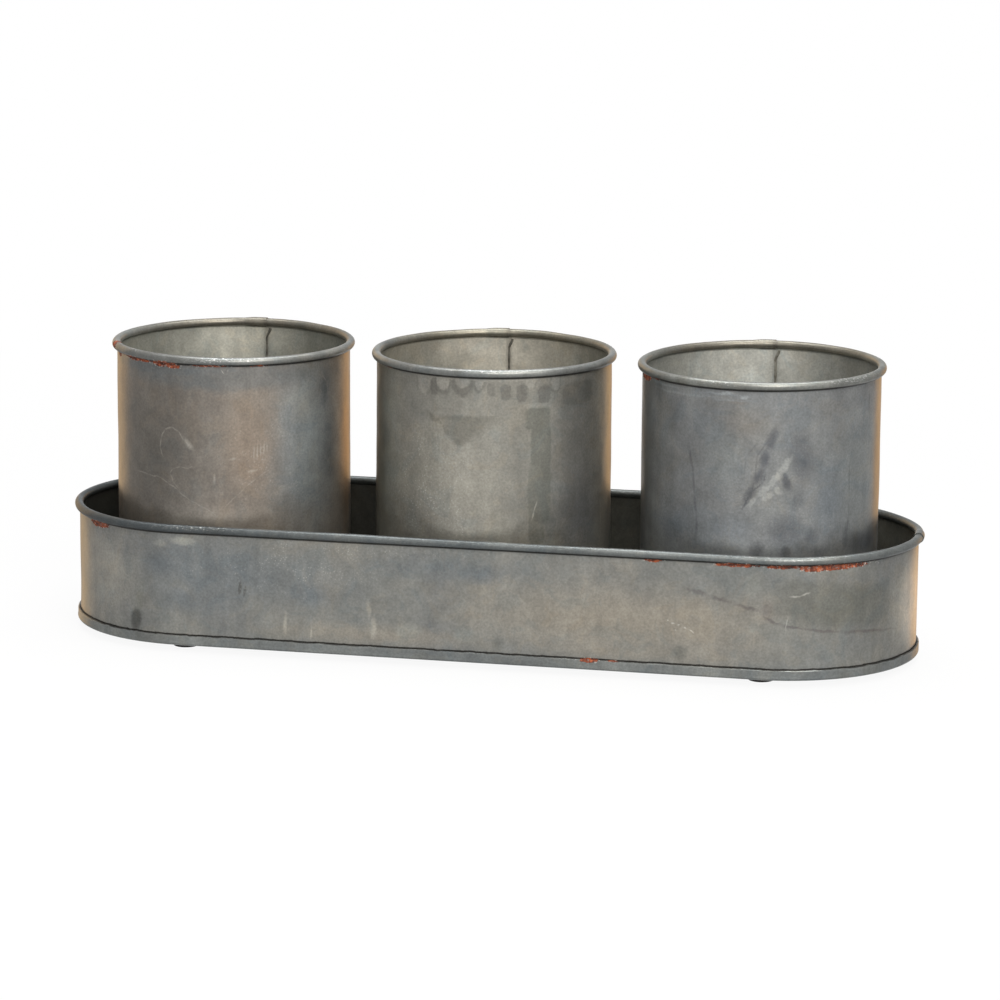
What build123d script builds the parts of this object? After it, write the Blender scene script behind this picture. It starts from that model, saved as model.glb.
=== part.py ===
from build123d import *
from math import atan2, cos, degrees, radians, sin, sqrt
import os

# Herb planter of weathered zinc-coated sheet steel: three loose round pots stand in a long
# tray with round ends.  Every vessel is made the tinsmith's way: a strip bent to its outline and
# lapped and soldered at one seam, its upper edge curled outwards round a steel wire, and its
# lower edge hooked into the turned-up edge of the floor sheet as a double seam.
# Millimetres.  +X runs along the row of pots, +Y to the back, +Z up.
# The origin lies under the middle of the tray, on the surface that the rubber feet stand on.

# Sheet, wire and folds
SHEET = 0.4                # thickness of all the sheet
WIRE_DIAMETER = 3.2        # wire inside each rolled rim
LAYER_GAP = 0.05           # clearance between folded layers and round the wire
BEAD_OFFSET = 0.25         # centre of the rolled rim, outside the wall's outer face
CURL_END = -85.0           # angle at which the curled edge stops, just short of the wall
JOGGLE_BEND = 0.6          # smallest inside radius where the wall steps in under the rim
BAND_HEIGHT = 5.0          # height of the folded band round the foot of each vessel

# Side seams
LAP_WIDTH = 6.0            # overlap of the strip's two ends
LAP_RUNOUT = 7.0           # length over which the inner end eases back to the wall
RUNOUT_LEFT = 0.05         # sheet still standing proud where the easing ends
SOLDER_WIDTH = 2.6         # bead of solder along the edge of the lap
SOLDER_HEIGHT = 0.75       # its height over the wall
WIRE_END_GAP = 0.6         # space between the two ends of a rim wire

# Pots
POT_RADIUS = 56.0          # outer face of the wall
POT_HEIGHT = 136.0         # underside of the floor to the top of the rim
POT_RIM_SPACE = 10.9       # clear space between the rims of neighbouring pots
POT_SEAMS = {"left": 89.0, "middle": 95.0, "right": 92.0}   # angle of each side seam, from +X

# Tray
TRAY_HEIGHT = 58.0         # underside of the floor to the top of the rim
TRAY_SIDE_SPACE = 7.25     # clear space between a pot's band and the tray's wall
TRAY_END_SPACE = 10.0      # how far the round ends are centred beyond the outer pots
TRAY_SEAM = 0.0            # angle of the side seam, at the middle of the right end

# Feet
FOOT_DIAMETER = 12.7
FOOT_HEIGHT = 3.5
FOOT_ROUNDING = 0.6        # rounding of the edge that meets the table
FOOT_INSET = 16.35         # centre of a foot, in from the long side of the tray's band

# Sizes that follow from those above
bead_radius = WIRE_DIAMETER / 2 + LAYER_GAP + SHEET
bead_middle = bead_radius - SHEET / 2
joggle_radius = JOGGLE_BEND + 1.5 * SHEET
layer_step = SHEET + LAYER_GAP
band_stand_out = 3 * layer_step
pot_band_radius = POT_RADIUS + band_stand_out
pot_rim_radius = POT_RADIUS + BEAD_OFFSET + bead_radius
pot_pitch = 2 * pot_rim_radius + POT_RIM_SPACE
pot_places = {"left": -pot_pitch, "middle": 0.0, "right": pot_pitch}
tray_radius = pot_band_radius + TRAY_SIDE_SPACE + SHEET
tray_half = pot_pitch + TRAY_END_SPACE
tray_underside = FOOT_HEIGHT
pot_underside = tray_underside + SHEET
foot_y = tray_radius + band_stand_out - FOOT_INSET
seam_foot = 2 * SHEET + LAYER_GAP

# The double seam: wall and floor hook into each other round two shared fold centres
low_fold_out = LAYER_GAP + SHEET / 2
low_fold_up = 2.5 * SHEET + 2 * LAYER_GAP
high_fold_out = low_fold_out + layer_step
high_fold_up = BAND_HEIGHT - 1.5 * SHEET - LAYER_GAP


def section_line(start, end):
    """Straight stretch of a section, between two points given as (distance from axis, height)."""
    return Edge.make_line((start[0], 0, start[1]), (end[0], 0, end[1]))


def section_arc(centre, radius, start_angle, end_angle):
    """Round stretch of a section, about a centre given as (distance from axis, height)."""
    points = []
    for angle in (start_angle, (start_angle + end_angle) / 2, end_angle):
        out = centre[0] + radius * cos(radians(angle))
        up = centre[1] + radius * sin(radians(angle))
        points.append((out, 0, up))
    return Edge.make_three_point_arc(*points)


def sheet_section(edges, thickness):
    """Section of a bent sheet, from the edges along the middle of its thickness."""
    return Face(Wire(edges).offset_2d(thickness / 2, side=Side.BOTH))


def rim_edges(radius, height, inward):
    """Joggle and curl of a rolled rim, for a sheet that lies `inward` of the wall's own sheet.

    Returns the height at which the joggle leaves the straight wall, and the two arcs.
    """
    bead = (radius + BEAD_OFFSET, height - bead_radius)
    across = BEAD_OFFSET + SHEET / 2 + joggle_radius
    drop = sqrt((joggle_radius + bead_middle) ** 2 - across ** 2)
    joggle = (bead[0] - across, bead[1] - drop)
    turn = degrees(atan2(drop, across))
    arcs = [
        section_arc(joggle, joggle_radius - inward, 0, turn),
        section_arc(bead, bead_middle + inward, turn + 180, CURL_END),
    ]
    return joggle[1], arcs


def wall_section(radius, height):
    """Wall sheet from the hook in the bottom seam up to the end of the curl."""
    start, rim = rim_edges(radius, height, 0)
    fold = (radius + low_fold_out, low_fold_up)
    outer = fold[0] + layer_step
    inner = fold[0] - layer_step
    hook = [
        section_line((outer, high_fold_up), (outer, low_fold_up)),
        section_arc(fold, layer_step, 0, -180),
    ]
    return sheet_section(hook + [section_line((inner, low_fold_up), (inner, start))] + rim, SHEET)


def lap_section(radius, height, proud):
    """Second layer at the side seam, inside the wall and over the curl, standing `proud` of it."""
    thickness = proud + SHEET / 2
    start, rim = rim_edges(radius, height, thickness / 2)
    middle = radius - SHEET / 2 - thickness / 2
    return sheet_section([section_line((middle, seam_foot), (middle, start))] + rim, thickness)


def floor_edge_section(radius):
    """Edge of the floor sheet: out under the wall, up outside it, and down into its hook."""
    low_fold = (radius + low_fold_out, low_fold_up)
    high_fold = (radius + high_fold_out, high_fold_up)
    outer = high_fold[0] + layer_step
    inner = high_fold[0] - layer_step
    edges = [
        section_line((radius / 2, SHEET / 2), (low_fold[0], SHEET / 2)),
        section_arc(low_fold, 2 * layer_step, -90, 0),
        section_line((outer, low_fold_up), (outer, high_fold_up)),
        section_arc(high_fold, layer_step, 0, 180),
        section_line((inner, high_fold_up), (inner, low_fold_up)),
    ]
    return sheet_section(edges, SHEET)


def run_round(section, half_length):
    """Carry a section round a circle, or round two half circles joined by straight sides."""
    if half_length == 0:
        return revolve(section, Axis.Z, 360)
    end = revolve(section, Axis.Z, 180)
    right = Pos(half_length, 0, 0) * Rot(0, 0, -90) * end
    left = Pos(-half_length, 0, 0) * Rot(0, 0, 90) * end
    side = Pos(-half_length, 0, 0) * extrude(Rot(0, 0, -90) * section, 2 * half_length, dir=(1, 0, 0))
    return right + left + side + Rot(0, 0, 180) * side


def vessel_wall(radius, height, half_length, seam):
    """Wall strip with its rolled rim, bottom hook and lapped side seam."""
    lap = lap_section(radius, height, SHEET)
    runout = lap_section(radius, height, RUNOUT_LEFT)
    lap_turn = degrees(LAP_WIDTH / radius)
    runout_turn = lap_turn + degrees(LAP_RUNOUT / radius)
    layer = revolve(lap, Axis.Z, lap_turn)
    layer += loft([Rot(0, 0, lap_turn) * lap, Rot(0, 0, runout_turn) * runout], ruled=True)
    return run_round(wall_section(radius, height), half_length) + Pos(half_length, 0, 0) * Rot(0, 0, seam) * layer


def vessel_floor(radius, half_length):
    """Floor sheet with the edge that is folded up round the foot of the wall."""
    plate_radius = radius / 2 + SHEET
    if half_length == 0:
        outline = Circle(plate_radius)
    else:
        outline = SlotCenterToCenter(2 * half_length, 2 * plate_radius)
    return extrude(outline, SHEET) + run_round(floor_edge_section(radius), half_length)


def vessel_wire(radius, height, half_length, seam):
    """Wire inside the rolled rim, with its two ends just apart at the side seam."""
    centre = (radius + BEAD_OFFSET, 0, height - bead_radius)
    section = Plane(centre, x_dir=(1, 0, 0), z_dir=(0, -1, 0)) * Circle(WIRE_DIAMETER / 2)
    ring = run_round(section.face(), half_length)
    cut = Pos(*centre) * Box(2 * bead_radius, WIRE_END_GAP, 2 * bead_radius)
    return ring - Pos(half_length, 0, 0) * Rot(0, 0, seam) * cut


def vessel_solder(radius, height, half_length, seam, wall):
    """Bead of solder over the edge of the lap, on the inside of the wall."""
    start, _ = rim_edges(radius, height, 0)
    outline = Ellipse(SOLDER_HEIGHT, SOLDER_WIDTH / 2)
    bead = Pos(radius - SHEET, 0, seam_foot) * extrude(outline, start - seam_foot)
    bead &= Cylinder(radius - SHEET, height, align=(Align.CENTER, Align.CENTER, Align.MIN))
    return Pos(half_length, 0, 0) * Rot(0, 0, seam) * bead - wall


def rubber_foot():
    """Round stick-on foot with a rounded lower edge, its top at the tray's underside."""
    foot = Cylinder(FOOT_DIAMETER / 2, FOOT_HEIGHT, align=(Align.CENTER, Align.CENTER, Align.MIN))
    return fillet(foot.edges().group_by(Axis.Z)[0], FOOT_ROUNDING)


def vessel(radius, height, half_length, seam):
    """All the pieces of one vessel, by name, standing on its own underside."""
    wall = vessel_wall(radius, height, half_length, seam)
    return {
        "wall": wall,
        "floor": vessel_floor(radius, half_length),
        "rim_wire": vessel_wire(radius, height, half_length, seam),
        "seam_solder": vessel_solder(radius, height, half_length, seam, wall),
    }


nodes = {}
for piece, solid in vessel(tray_radius, TRAY_HEIGHT, tray_half, TRAY_SEAM).items():
    nodes[f"tray_{piece}"] = Pos(0, 0, tray_underside) * solid
for side_y, depth in ((-1, "front"), (1, "back")):
    for side_x, hand in ((-1, "left"), (1, "right")):
        nodes[f"foot_{depth}_{hand}"] = Pos(side_x * tray_half, side_y * foot_y, 0) * rubber_foot()
pot = vessel(POT_RADIUS, POT_HEIGHT, 0, 0)
for which, pot_x in pot_places.items():
    place = Pos(pot_x, 0, pot_underside) * Rot(0, 0, POT_SEAMS[which])
    for piece, solid in pot.items():
        nodes[f"pot_{which}_{piece}"] = place * solid

os.makedirs("parts", exist_ok=True)
for name, solid in nodes.items():
    export_step(solid, f"parts/{name}.step")
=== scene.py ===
import math

import bmesh
import bpy
from bpy.props import FloatProperty, FloatVectorProperty, IntProperty, PointerProperty
from mathutils import Matrix, Vector


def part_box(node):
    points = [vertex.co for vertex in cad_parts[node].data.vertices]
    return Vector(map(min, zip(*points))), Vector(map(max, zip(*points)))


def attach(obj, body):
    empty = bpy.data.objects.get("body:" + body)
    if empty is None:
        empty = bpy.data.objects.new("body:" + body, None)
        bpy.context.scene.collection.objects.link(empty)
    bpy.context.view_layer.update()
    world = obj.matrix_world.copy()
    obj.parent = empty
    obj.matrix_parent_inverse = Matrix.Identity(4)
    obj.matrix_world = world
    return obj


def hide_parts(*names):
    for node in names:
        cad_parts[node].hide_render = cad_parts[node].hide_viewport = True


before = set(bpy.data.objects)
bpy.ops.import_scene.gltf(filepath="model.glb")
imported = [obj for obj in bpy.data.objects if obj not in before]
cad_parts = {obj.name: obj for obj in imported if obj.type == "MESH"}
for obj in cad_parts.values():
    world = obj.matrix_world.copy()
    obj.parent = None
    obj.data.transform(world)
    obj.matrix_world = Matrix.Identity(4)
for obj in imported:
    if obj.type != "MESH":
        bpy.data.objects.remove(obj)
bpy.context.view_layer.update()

# Herb planter: three loose pots in a long tray, all of weathered zinc-coated steel sheet.
# Each vessel is one strip of sheet, curled round a wire at the top, lapped and soldered at one
# seam, and folded together with its floor sheet at the foot.  The pieces here are that sheet,
# with the dents, laps and patina that the plain solids leave out.

bl_info = {
    "name": "Herb Planter Sheet Metal",
    "version": (1, 0, 0),
    "blender": (4, 5, 0),
    "location": "View3D > Sidebar > Planter",
    "description": "Builds the zinc sheet, wires, solder and feet of a herb planter round its solids",
    "category": "Object",
}

MM = 0.001
POTS = ("pot_left", "pot_middle", "pot_right")
VESSELS = ("tray",) + POTS
FEET = ("foot_front_left", "foot_front_right", "foot_back_left", "foot_back_right")

# Points along the sections
JOGGLE_STEPS = 6
CURL_STEPS = 30
FOLD_STEPS = 8
WIRE_SIDES = 12
WALL_ROW = 4 * MM          # spacing up a wall
HOOK_ROW = 2 * MM          # spacing in the hidden hooks of the bottom seam
BAND_ROW = 0.7 * MM        # spacing up the band round the foot
FLOOR_ROW = 3 * MM         # spacing across the swept edge of a floor
FLOOR_EDGE = 9 * MM        # width of that edge; flat plates close the rest

# Where a vessel gives to dents: 0 is stiff, 1 gives fully
GIVE_HEIGHT = 18 * MM      # rise above the bottom seam over which a wall comes to give fully
BAND_GIVE = 0.35           # of the folded band
RIM_DIP = 0.6              # how far a rim sinks, as a share of how far it was pushed in
SEAM_STIFF = 14 * MM       # beside a side seam nothing gives as far as this
SEAM_EASE = 18 * MM        # and then it comes to give over this length

# Side seams
LAP_LAYER = 1.48           # the lap in sheets: one over the wall, and nearly half of the wall below it
LAP_DROP = 1.15            # how far it sinks at its run-out, in sheets, so that its end is buried
LAP_STATIONS = 14
GROOVE_WIDTH = 0.35 * MM   # line of the sheet's outer end down the outside
GROOVE_DEPTH = 0.22 * MM
FINE_MARGIN = 3.5 * MM     # stations are close together from here beside the seam up to that line
FINE_SPACING = 0.7 * MM
FLUX_STAIN = 0.3           # strength of the flux stain beside the solder
FLUX_REACH = 1.8 * MM
FLUX_EASE = 0.9 * MM

# Solder beads
BEAD_SEAT = 1.4            # middle of a bead, in sheets inside the wall's outer face
BEAD_STEP = 0.8 * MM       # spacing of points along a bead
BEAD_SIDES = 14
STRAY_LENGTH = 9 * MM      # usual length of a stray to one side
LUMP_LENGTH = 4 * MM
LEAN_LENGTH = 5 * MM       # stretch under the rim in which a bead bends aside

# Most values of a noise pattern lie between these
NOISE_SPAN = (0.3, 0.7)


def linear(hex_colour):
    """An sRGB hex colour as linear red, green and blue."""
    channels = []
    for start in (1, 3, 5):
        value = int(hex_colour[start:start + 2], 16) / 255
        if value <= 0.04045:
            channels.append(value / 12.92)
        else:
            channels.append(((value + 0.055) / 1.055) ** 2.4)
    return tuple(channels)


def opaque(colour):
    """A red, green and blue colour with full alpha, as colour sockets take it."""
    return tuple(colour)[:3] + (1.0,)


def paint(hex_colour):
    """An sRGB hex colour, ready for a colour socket."""
    return opaque(linear(hex_colour))


class PlanterSheet(bpy.types.PropertyGroup):
    """Sizes of the sheet, its folds and its dents."""

    thickness: FloatProperty(
        name="Sheet thickness", description="Thickness of all the sheet",
        default=0.4 * MM, unit="LENGTH", precision=5)
    layer_gap: FloatProperty(
        name="Layer gap", description="Clearance between folded layers and round the rim wire",
        default=0.05 * MM, unit="LENGTH", precision=5)
    joggle_bend: FloatProperty(
        name="Joggle bend", description="Smallest inside radius where the wall steps in under the rim",
        default=0.6 * MM, unit="LENGTH", precision=5)
    curl_end: FloatProperty(
        name="Curl end", description="Angle at which the curled edge stops",
        default=math.radians(-85), subtype="ANGLE")
    lap_width: FloatProperty(
        name="Lap width", description="Overlap of the strip's two ends",
        default=6 * MM, unit="LENGTH")
    lap_runout: FloatProperty(
        name="Lap run-out", description="Length over which the inner end eases back to the wall",
        default=7 * MM, unit="LENGTH")
    station: FloatProperty(
        name="Station spacing", description="Distance between sections round a vessel",
        default=2 * MM, unit="LENGTH")
    dent_depth: FloatProperty(
        name="Dent depth", description="Deepest dent in a wall, always inwards",
        default=0.7 * MM, unit="LENGTH", precision=5)
    dent_length: FloatProperty(
        name="Dent length", description="Usual distance from dent to dent",
        default=55 * MM, unit="LENGTH")
    seed: IntProperty(name="Seed", description="Picks the pattern of dents and lumps", default=4)


class PlanterSolder(bpy.types.PropertyGroup):
    """Sizes of the solder beads along the side seams."""

    width: FloatProperty(
        name="Bead width", description="Width of a solder bead", default=1.5 * MM, unit="LENGTH")
    height: FloatProperty(
        name="Bead height", description="Height of a solder bead over the wall",
        default=0.6 * MM, unit="LENGTH", precision=5)
    wander: FloatProperty(
        name="Wander", description="How far a bead strays to each side of the seam",
        default=0.3 * MM, unit="LENGTH", precision=5)
    lean: FloatProperty(
        name="Lean", description="How far a bead bends aside under the rim",
        default=1.8 * MM, unit="LENGTH")


class PlanterColours(bpy.types.PropertyGroup):
    """Main tones of the finishes."""

    pot_left: FloatVectorProperty(
        name="Left pot", description="Warm taupe patina of the left pot",
        subtype="COLOR", size=3, default=linear("#8a847c"))
    pot_middle: FloatVectorProperty(
        name="Middle pot", description="Greenish grey patina of the middle pot",
        subtype="COLOR", size=3, default=linear("#8f8d85"))
    pot_right: FloatVectorProperty(
        name="Right pot", description="Blue grey patina of the right pot",
        subtype="COLOR", size=3, default=linear("#878989"))
    tray: FloatVectorProperty(
        name="Tray", description="Blue grey patina of the tray",
        subtype="COLOR", size=3, default=linear("#888985"))
    rubber: FloatVectorProperty(
        name="Feet", description="Dark brown rubber of the feet",
        subtype="COLOR", size=3, default=linear("#1d1917"))


class PlanterStage(bpy.types.PropertyGroup):
    """Camera and light."""

    azimuth: FloatProperty(
        name="Azimuth", description="Turn of the camera to the right of straight in front",
        default=math.radians(12.151), subtype="ANGLE")
    elevation: FloatProperty(
        name="Elevation", description="Height of the camera over the horizon",
        default=math.radians(11.954), subtype="ANGLE")
    roll: FloatProperty(
        name="Roll", description="Turn of the camera about its own axis",
        default=math.radians(0.44), subtype="ANGLE")
    distance: FloatProperty(
        name="Distance", description="Camera to target", default=2.0, unit="LENGTH")
    aside: FloatProperty(
        name="Target aside", description="Target to the right of the tray's middle",
        default=3.132 * MM, unit="LENGTH")
    height: FloatProperty(
        name="Target height", description="Target over the table", default=66.928 * MM, unit="LENGTH")
    lens: FloatProperty(
        name="Lens", description="Focal length in millimetres on a 36 mm frame", default=151.515)
    key_power: FloatProperty(
        name="Key power", description="Power of the large lamp over the camera",
        default=40.0, unit="POWER")
    top_power: FloatProperty(
        name="Top power", description="Power of the soft lamp overhead, which lights the pots inside",
        default=40.0, unit="POWER")


class Vessel:
    """Sizes of the tray or of one pot, read from the boxes of its solids."""

    def __init__(self, name):
        sheet = bpy.context.scene.planter_sheet
        wall_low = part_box(f"{name}_wall")[0]
        floor_low, floor_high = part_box(f"{name}_floor")
        wire_low, wire_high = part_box(f"{name}_rim_wire")
        solder_low, solder_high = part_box(f"{name}_seam_solder")
        self.name = name
        self.sheet = sheet
        self.middle_x = (floor_low.x + floor_high.x) / 2
        half_length = (floor_high.x - floor_low.x) / 2 - floor_high.y
        self.is_round = half_length < 0.1 * MM
        self.half_length = 0.0 if self.is_round else half_length
        self.underside = floor_low.z
        self.band_top = floor_high.z
        self.layer_step = sheet.thickness + sheet.layer_gap
        self.radius = floor_high.y - 3 * self.layer_step
        self.wire_radius = (wire_high.z - wire_low.z) / 2
        self.bead = (-wire_low.y - self.wire_radius, (wire_high.z + wire_low.z) / 2)
        self.bead_radius = -wall_low.y - self.bead[0]
        seam = (solder_low + solder_high) / 2
        self.seam = math.atan2(seam.y, seam.x - self.middle_x - self.half_length)

        # The wall steps in under its rim round the joggle, which touches the bead
        joggle = sheet.joggle_bend + 1.5 * sheet.thickness
        across = self.bead[0] - self.radius + sheet.thickness / 2 + joggle
        drop = math.sqrt((joggle + self.bead_radius - sheet.thickness / 2) ** 2 - across ** 2)
        self.joggle_radius = joggle
        self.joggle = (self.bead[0] - across, self.bead[1] - drop)
        self.joggle_turn = math.atan2(drop, across)

        # Wall and floor hook into each other round two shared fold centres
        self.low_fold = (self.radius + sheet.layer_gap + sheet.thickness / 2,
                         self.underside + 2.5 * sheet.thickness + 2 * sheet.layer_gap)
        self.high_fold = (self.low_fold[0] + self.layer_step,
                          self.band_top - 1.5 * sheet.thickness - sheet.layer_gap)


class SectionPoint:
    """A point of a section, with what the dents, the laps and the finish read there."""

    def __init__(self, out, up, give=1.0, rim=0.0, inside=0.0, lift=(0.0, 0.0, 0.0)):
        self.out = out
        self.up = up
        self.give = give
        self.rim = rim
        self.inside = inside
        self.lift = lift


def section_line(start, end, spacing, **marks):
    """Points of a straight stretch of a section."""
    steps = max(1, round(math.dist(start, end) / spacing))
    points = []
    for step in range(steps + 1):
        part = step / steps
        out = start[0] + (end[0] - start[0]) * part
        up = start[1] + (end[1] - start[1]) * part
        points.append(SectionPoint(out, up, **marks))
    return points


def section_arc(centre, radius, start, end, steps, **marks):
    """Points of a round stretch of a section, without its first point."""
    points = []
    for step in range(1, steps + 1):
        angle = start + (end - start) * step / steps
        out = centre[0] + radius * math.cos(angle)
        up = centre[1] + radius * math.sin(angle)
        points.append(SectionPoint(out, up, **marks))
    return points


def sheet_outline(line, thickness, lifted=False):
    """Outline of a bent sheet: along its left face, then back along its right face.

    A lifted sheet is a lap that eases down at one end: its left face carries the direction in
    which it stands proud.
    """
    half = thickness / 2
    left_face = []
    right_face = []
    for index, point in enumerate(line):
        before = line[max(index - 1, 0)]
        after = line[min(index + 1, len(line) - 1)]
        run = (after.out - before.out, after.up - before.up)
        length = math.hypot(*run)
        left = (-run[1] / length, run[0] / length)
        lift = (*left, 0.0) if lifted else (0.0, 0.0, 0.0)
        left_face.append(SectionPoint(point.out + left[0] * half, point.up + left[1] * half,
                                      point.give, point.rim, point.inside, lift))
        right_face.append(SectionPoint(point.out - left[0] * half, point.up - left[1] * half,
                                       point.give, point.rim))
    return left_face + right_face[::-1]


def wall_rise(vessel, out, foot):
    """Straight part of a wall from its foot to the joggle, which gives to dents more with height."""
    line = section_line((out, foot), (out, vessel.joggle[1]), WALL_ROW, inside=1.0)
    for point in line:
        point.give = min(1.0, max(0.0, (point.up - vessel.low_fold[1]) / GIVE_HEIGHT))
    return line


def rim_line(vessel, inward):
    """Joggle and curl of a rolled rim, for a sheet that lies inward of the wall's own sheet."""
    middle = vessel.bead_radius - vessel.sheet.thickness / 2 + inward
    turn = vessel.joggle_turn
    joggle = section_arc(vessel.joggle, vessel.joggle_radius - inward, 0, turn, JOGGLE_STEPS,
                         rim=0.15, inside=0.9)
    curl = section_arc(vessel.bead, middle, turn + math.pi, vessel.sheet.curl_end, CURL_STEPS, rim=1.0)
    return joggle + curl


def wall_outline(vessel):
    """Wall sheet from the hook in the bottom seam up to the end of the curl."""
    fold = vessel.low_fold
    outer = fold[0] + vessel.layer_step
    inner = fold[0] - vessel.layer_step
    line = section_line((outer, vessel.high_fold[1]), (outer, fold[1]), HOOK_ROW, give=0.0)
    line += section_arc(fold, vessel.layer_step, 0, -math.pi, FOLD_STEPS, give=0.0)
    line += wall_rise(vessel, inner, fold[1])[1:]
    return sheet_outline(line + rim_line(vessel, 0.0), vessel.sheet.thickness)


def lap_outline(vessel):
    """Second layer at the side seam, inside the wall and over the curl."""
    sheet = vessel.sheet
    thickness = LAP_LAYER * sheet.thickness
    out = vessel.radius - sheet.thickness / 2 - thickness / 2
    foot = vessel.underside + 2 * sheet.thickness + sheet.layer_gap
    line = wall_rise(vessel, out, foot) + rim_line(vessel, thickness / 2)
    return sheet_outline(line, thickness, lifted=True)


def floor_outline(vessel):
    """Edge of the floor sheet: out under the wall, up outside it, and down into its hook."""
    low = vessel.low_fold
    high = vessel.high_fold
    step = vessel.layer_step
    outer = high[0] + step
    inner = high[0] - step
    level = vessel.underside + vessel.sheet.thickness / 2
    line = section_line((low[0] - FLOOR_EDGE, level), (low[0], level), FLOOR_ROW, give=0.0, inside=1.0)
    line += section_arc(low, 2 * step, -math.pi / 2, 0, FOLD_STEPS, give=0.0)
    line += section_line((outer, low[1]), (outer, high[1]), BAND_ROW, give=BAND_GIVE)[1:]
    line += section_arc(high, step, 0, math.pi, FOLD_STEPS, give=BAND_GIVE)
    line += section_line((inner, high[1]), (inner, low[1]), HOOK_ROW, give=0.0)[1:]
    return sheet_outline(line, vessel.sheet.thickness)


def wire_outline(vessel):
    """Round section of the rim wire."""
    points = []
    for step in range(WIRE_SIDES):
        angle = -2 * math.pi * step / WIRE_SIDES
        out = vessel.bead[0] + vessel.wire_radius * math.cos(angle)
        up = vessel.bead[1] + vessel.wire_radius * math.sin(angle)
        points.append(SectionPoint(out, up, rim=1.0))
    return points


class Station:
    """A place on the way round a vessel, with its outward direction and what the sheet reads there."""

    def __init__(self, x, y, out_x, out_y, groove=0.0):
        self.place = (x, y, 0.0)
        self.outward = (out_x, out_y, 0.0)
        self.groove = groove
        self.ease = 0.0
        self.free = 1.0
        self.flux = 0.0


def round_stations(centre_x, radius, angles, grooves):
    """Stations along an arc; grooves gives the depth of the seam line at some of the angles."""
    stations = []
    for angle in angles:
        out = (math.cos(angle), math.sin(angle))
        groove = grooves.get(angle, 0.0)
        stations.append(Station(centre_x + radius * out[0], radius * out[1], *out, groove))
    return stations


def spread(start, end, spacing):
    """Evenly spaced values from start up to end, without end."""
    count = max(2, round(abs(end - start) / spacing))
    return [start + (end - start) * index / count for index in range(count)]


def smooth(part):
    """Ease a value between 0 and 1 at both ends."""
    part = min(1.0, max(0.0, part))
    return part * part * (3 - 2 * part)


def mark_seam(vessel, stations):
    """Near the lapped seam two layers keep the wall stiff, and flux stains it beside the solder."""
    seam = (vessel.middle_x + vessel.half_length + vessel.radius * math.cos(vessel.seam),
            vessel.radius * math.sin(vessel.seam), 0.0)
    for station in stations:
        away = math.dist(station.place, seam)
        station.free = smooth((away - SEAM_STIFF) / SEAM_EASE)
        station.flux = FLUX_STAIN * smooth((FLUX_REACH - away) / FLUX_EASE)
    return stations


def vessel_round(vessel):
    """Stations once round a vessel, counter-clockwise from above, closer together at the seam.

    The sheet's outer end shows as a fine groove down the outside, one lap width past the seam.
    """
    spacing = vessel.sheet.station
    radius = vessel.radius
    half = vessel.half_length
    turn = spacing / radius
    edge = vessel.seam + vessel.sheet.lap_width / radius
    line = GROOVE_WIDTH / radius
    grooves = {edge - line: 0.0, edge: GROOVE_DEPTH, edge + line / 4: 0.0}
    fine_start = vessel.seam - FINE_MARGIN / radius
    fine_end = edge + 2 * line
    angles = spread(fine_start, edge - 2 * line, FINE_SPACING / radius) + list(grooves)
    round_end = 1.5 * math.pi if vessel.is_round else math.pi / 2
    for angle in spread(-math.pi / 2, round_end, turn):
        if not fine_start <= angle <= fine_end:
            angles.append(angle)
    stations = round_stations(vessel.middle_x + half, radius, sorted(angles), grooves)
    if not vessel.is_round:
        stations += [Station(x, radius, 0.0, 1.0) for x in spread(half, -half, spacing)]
        stations += round_stations(-half, radius, spread(math.pi / 2, 1.5 * math.pi, turn), {})
        stations += [Station(x, -radius, 0.0, -1.0) for x in spread(-half, half, spacing)]
    return mark_seam(vessel, stations)


def lap_round(vessel):
    """Stations along the lap, from its free edge to where it has eased back to the wall."""
    sheet = vessel.sheet
    length = sheet.lap_width + sheet.lap_runout
    angles = []
    for index in range(LAP_STATIONS + 1):
        angles.append(vessel.seam + length * index / LAP_STATIONS / vessel.radius)
    stations = round_stations(vessel.middle_x + vessel.half_length, vessel.radius, angles, {})
    for index, station in enumerate(stations):
        past = length * index / LAP_STATIONS - sheet.lap_width
        station.ease = smooth(past / sheet.lap_runout)
    return mark_seam(vessel, stations)


def add_node(tree, kind, inputs=(), **settings):
    """Add one node with its settings; inputs are its sockets' values, by name or in their order.

    An input that is a node or an output is linked, and any other value is set on the socket.
    """
    node = tree.nodes.new(kind)
    for name, value in settings.items():
        setattr(node, name, value)
    for name, value in inputs.items() if isinstance(inputs, dict) else enumerate(inputs):
        if isinstance(value, bpy.types.Node):
            value = next(output for output in value.outputs if output.enabled)
        if isinstance(value, bpy.types.NodeSocket):
            tree.links.new(value, node.inputs[name])
        else:
            node.inputs[name].default_value = value
    return node


def new_tree(name, sockets):
    """Geometry node tree with named inputs after its geometry, and one geometry output."""
    tree = bpy.data.node_groups.new(name, "GeometryNodeTree")
    tree.interface.new_socket("Geometry", in_out="INPUT", socket_type="NodeSocketGeometry")
    for socket_name, kind in sockets:
        tree.interface.new_socket(socket_name, in_out="INPUT", socket_type=f"NodeSocket{kind}")
    tree.interface.new_socket("Geometry", in_out="OUTPUT", socket_type="NodeSocketGeometry")
    return tree, tree.nodes.new("NodeGroupInput").outputs


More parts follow.
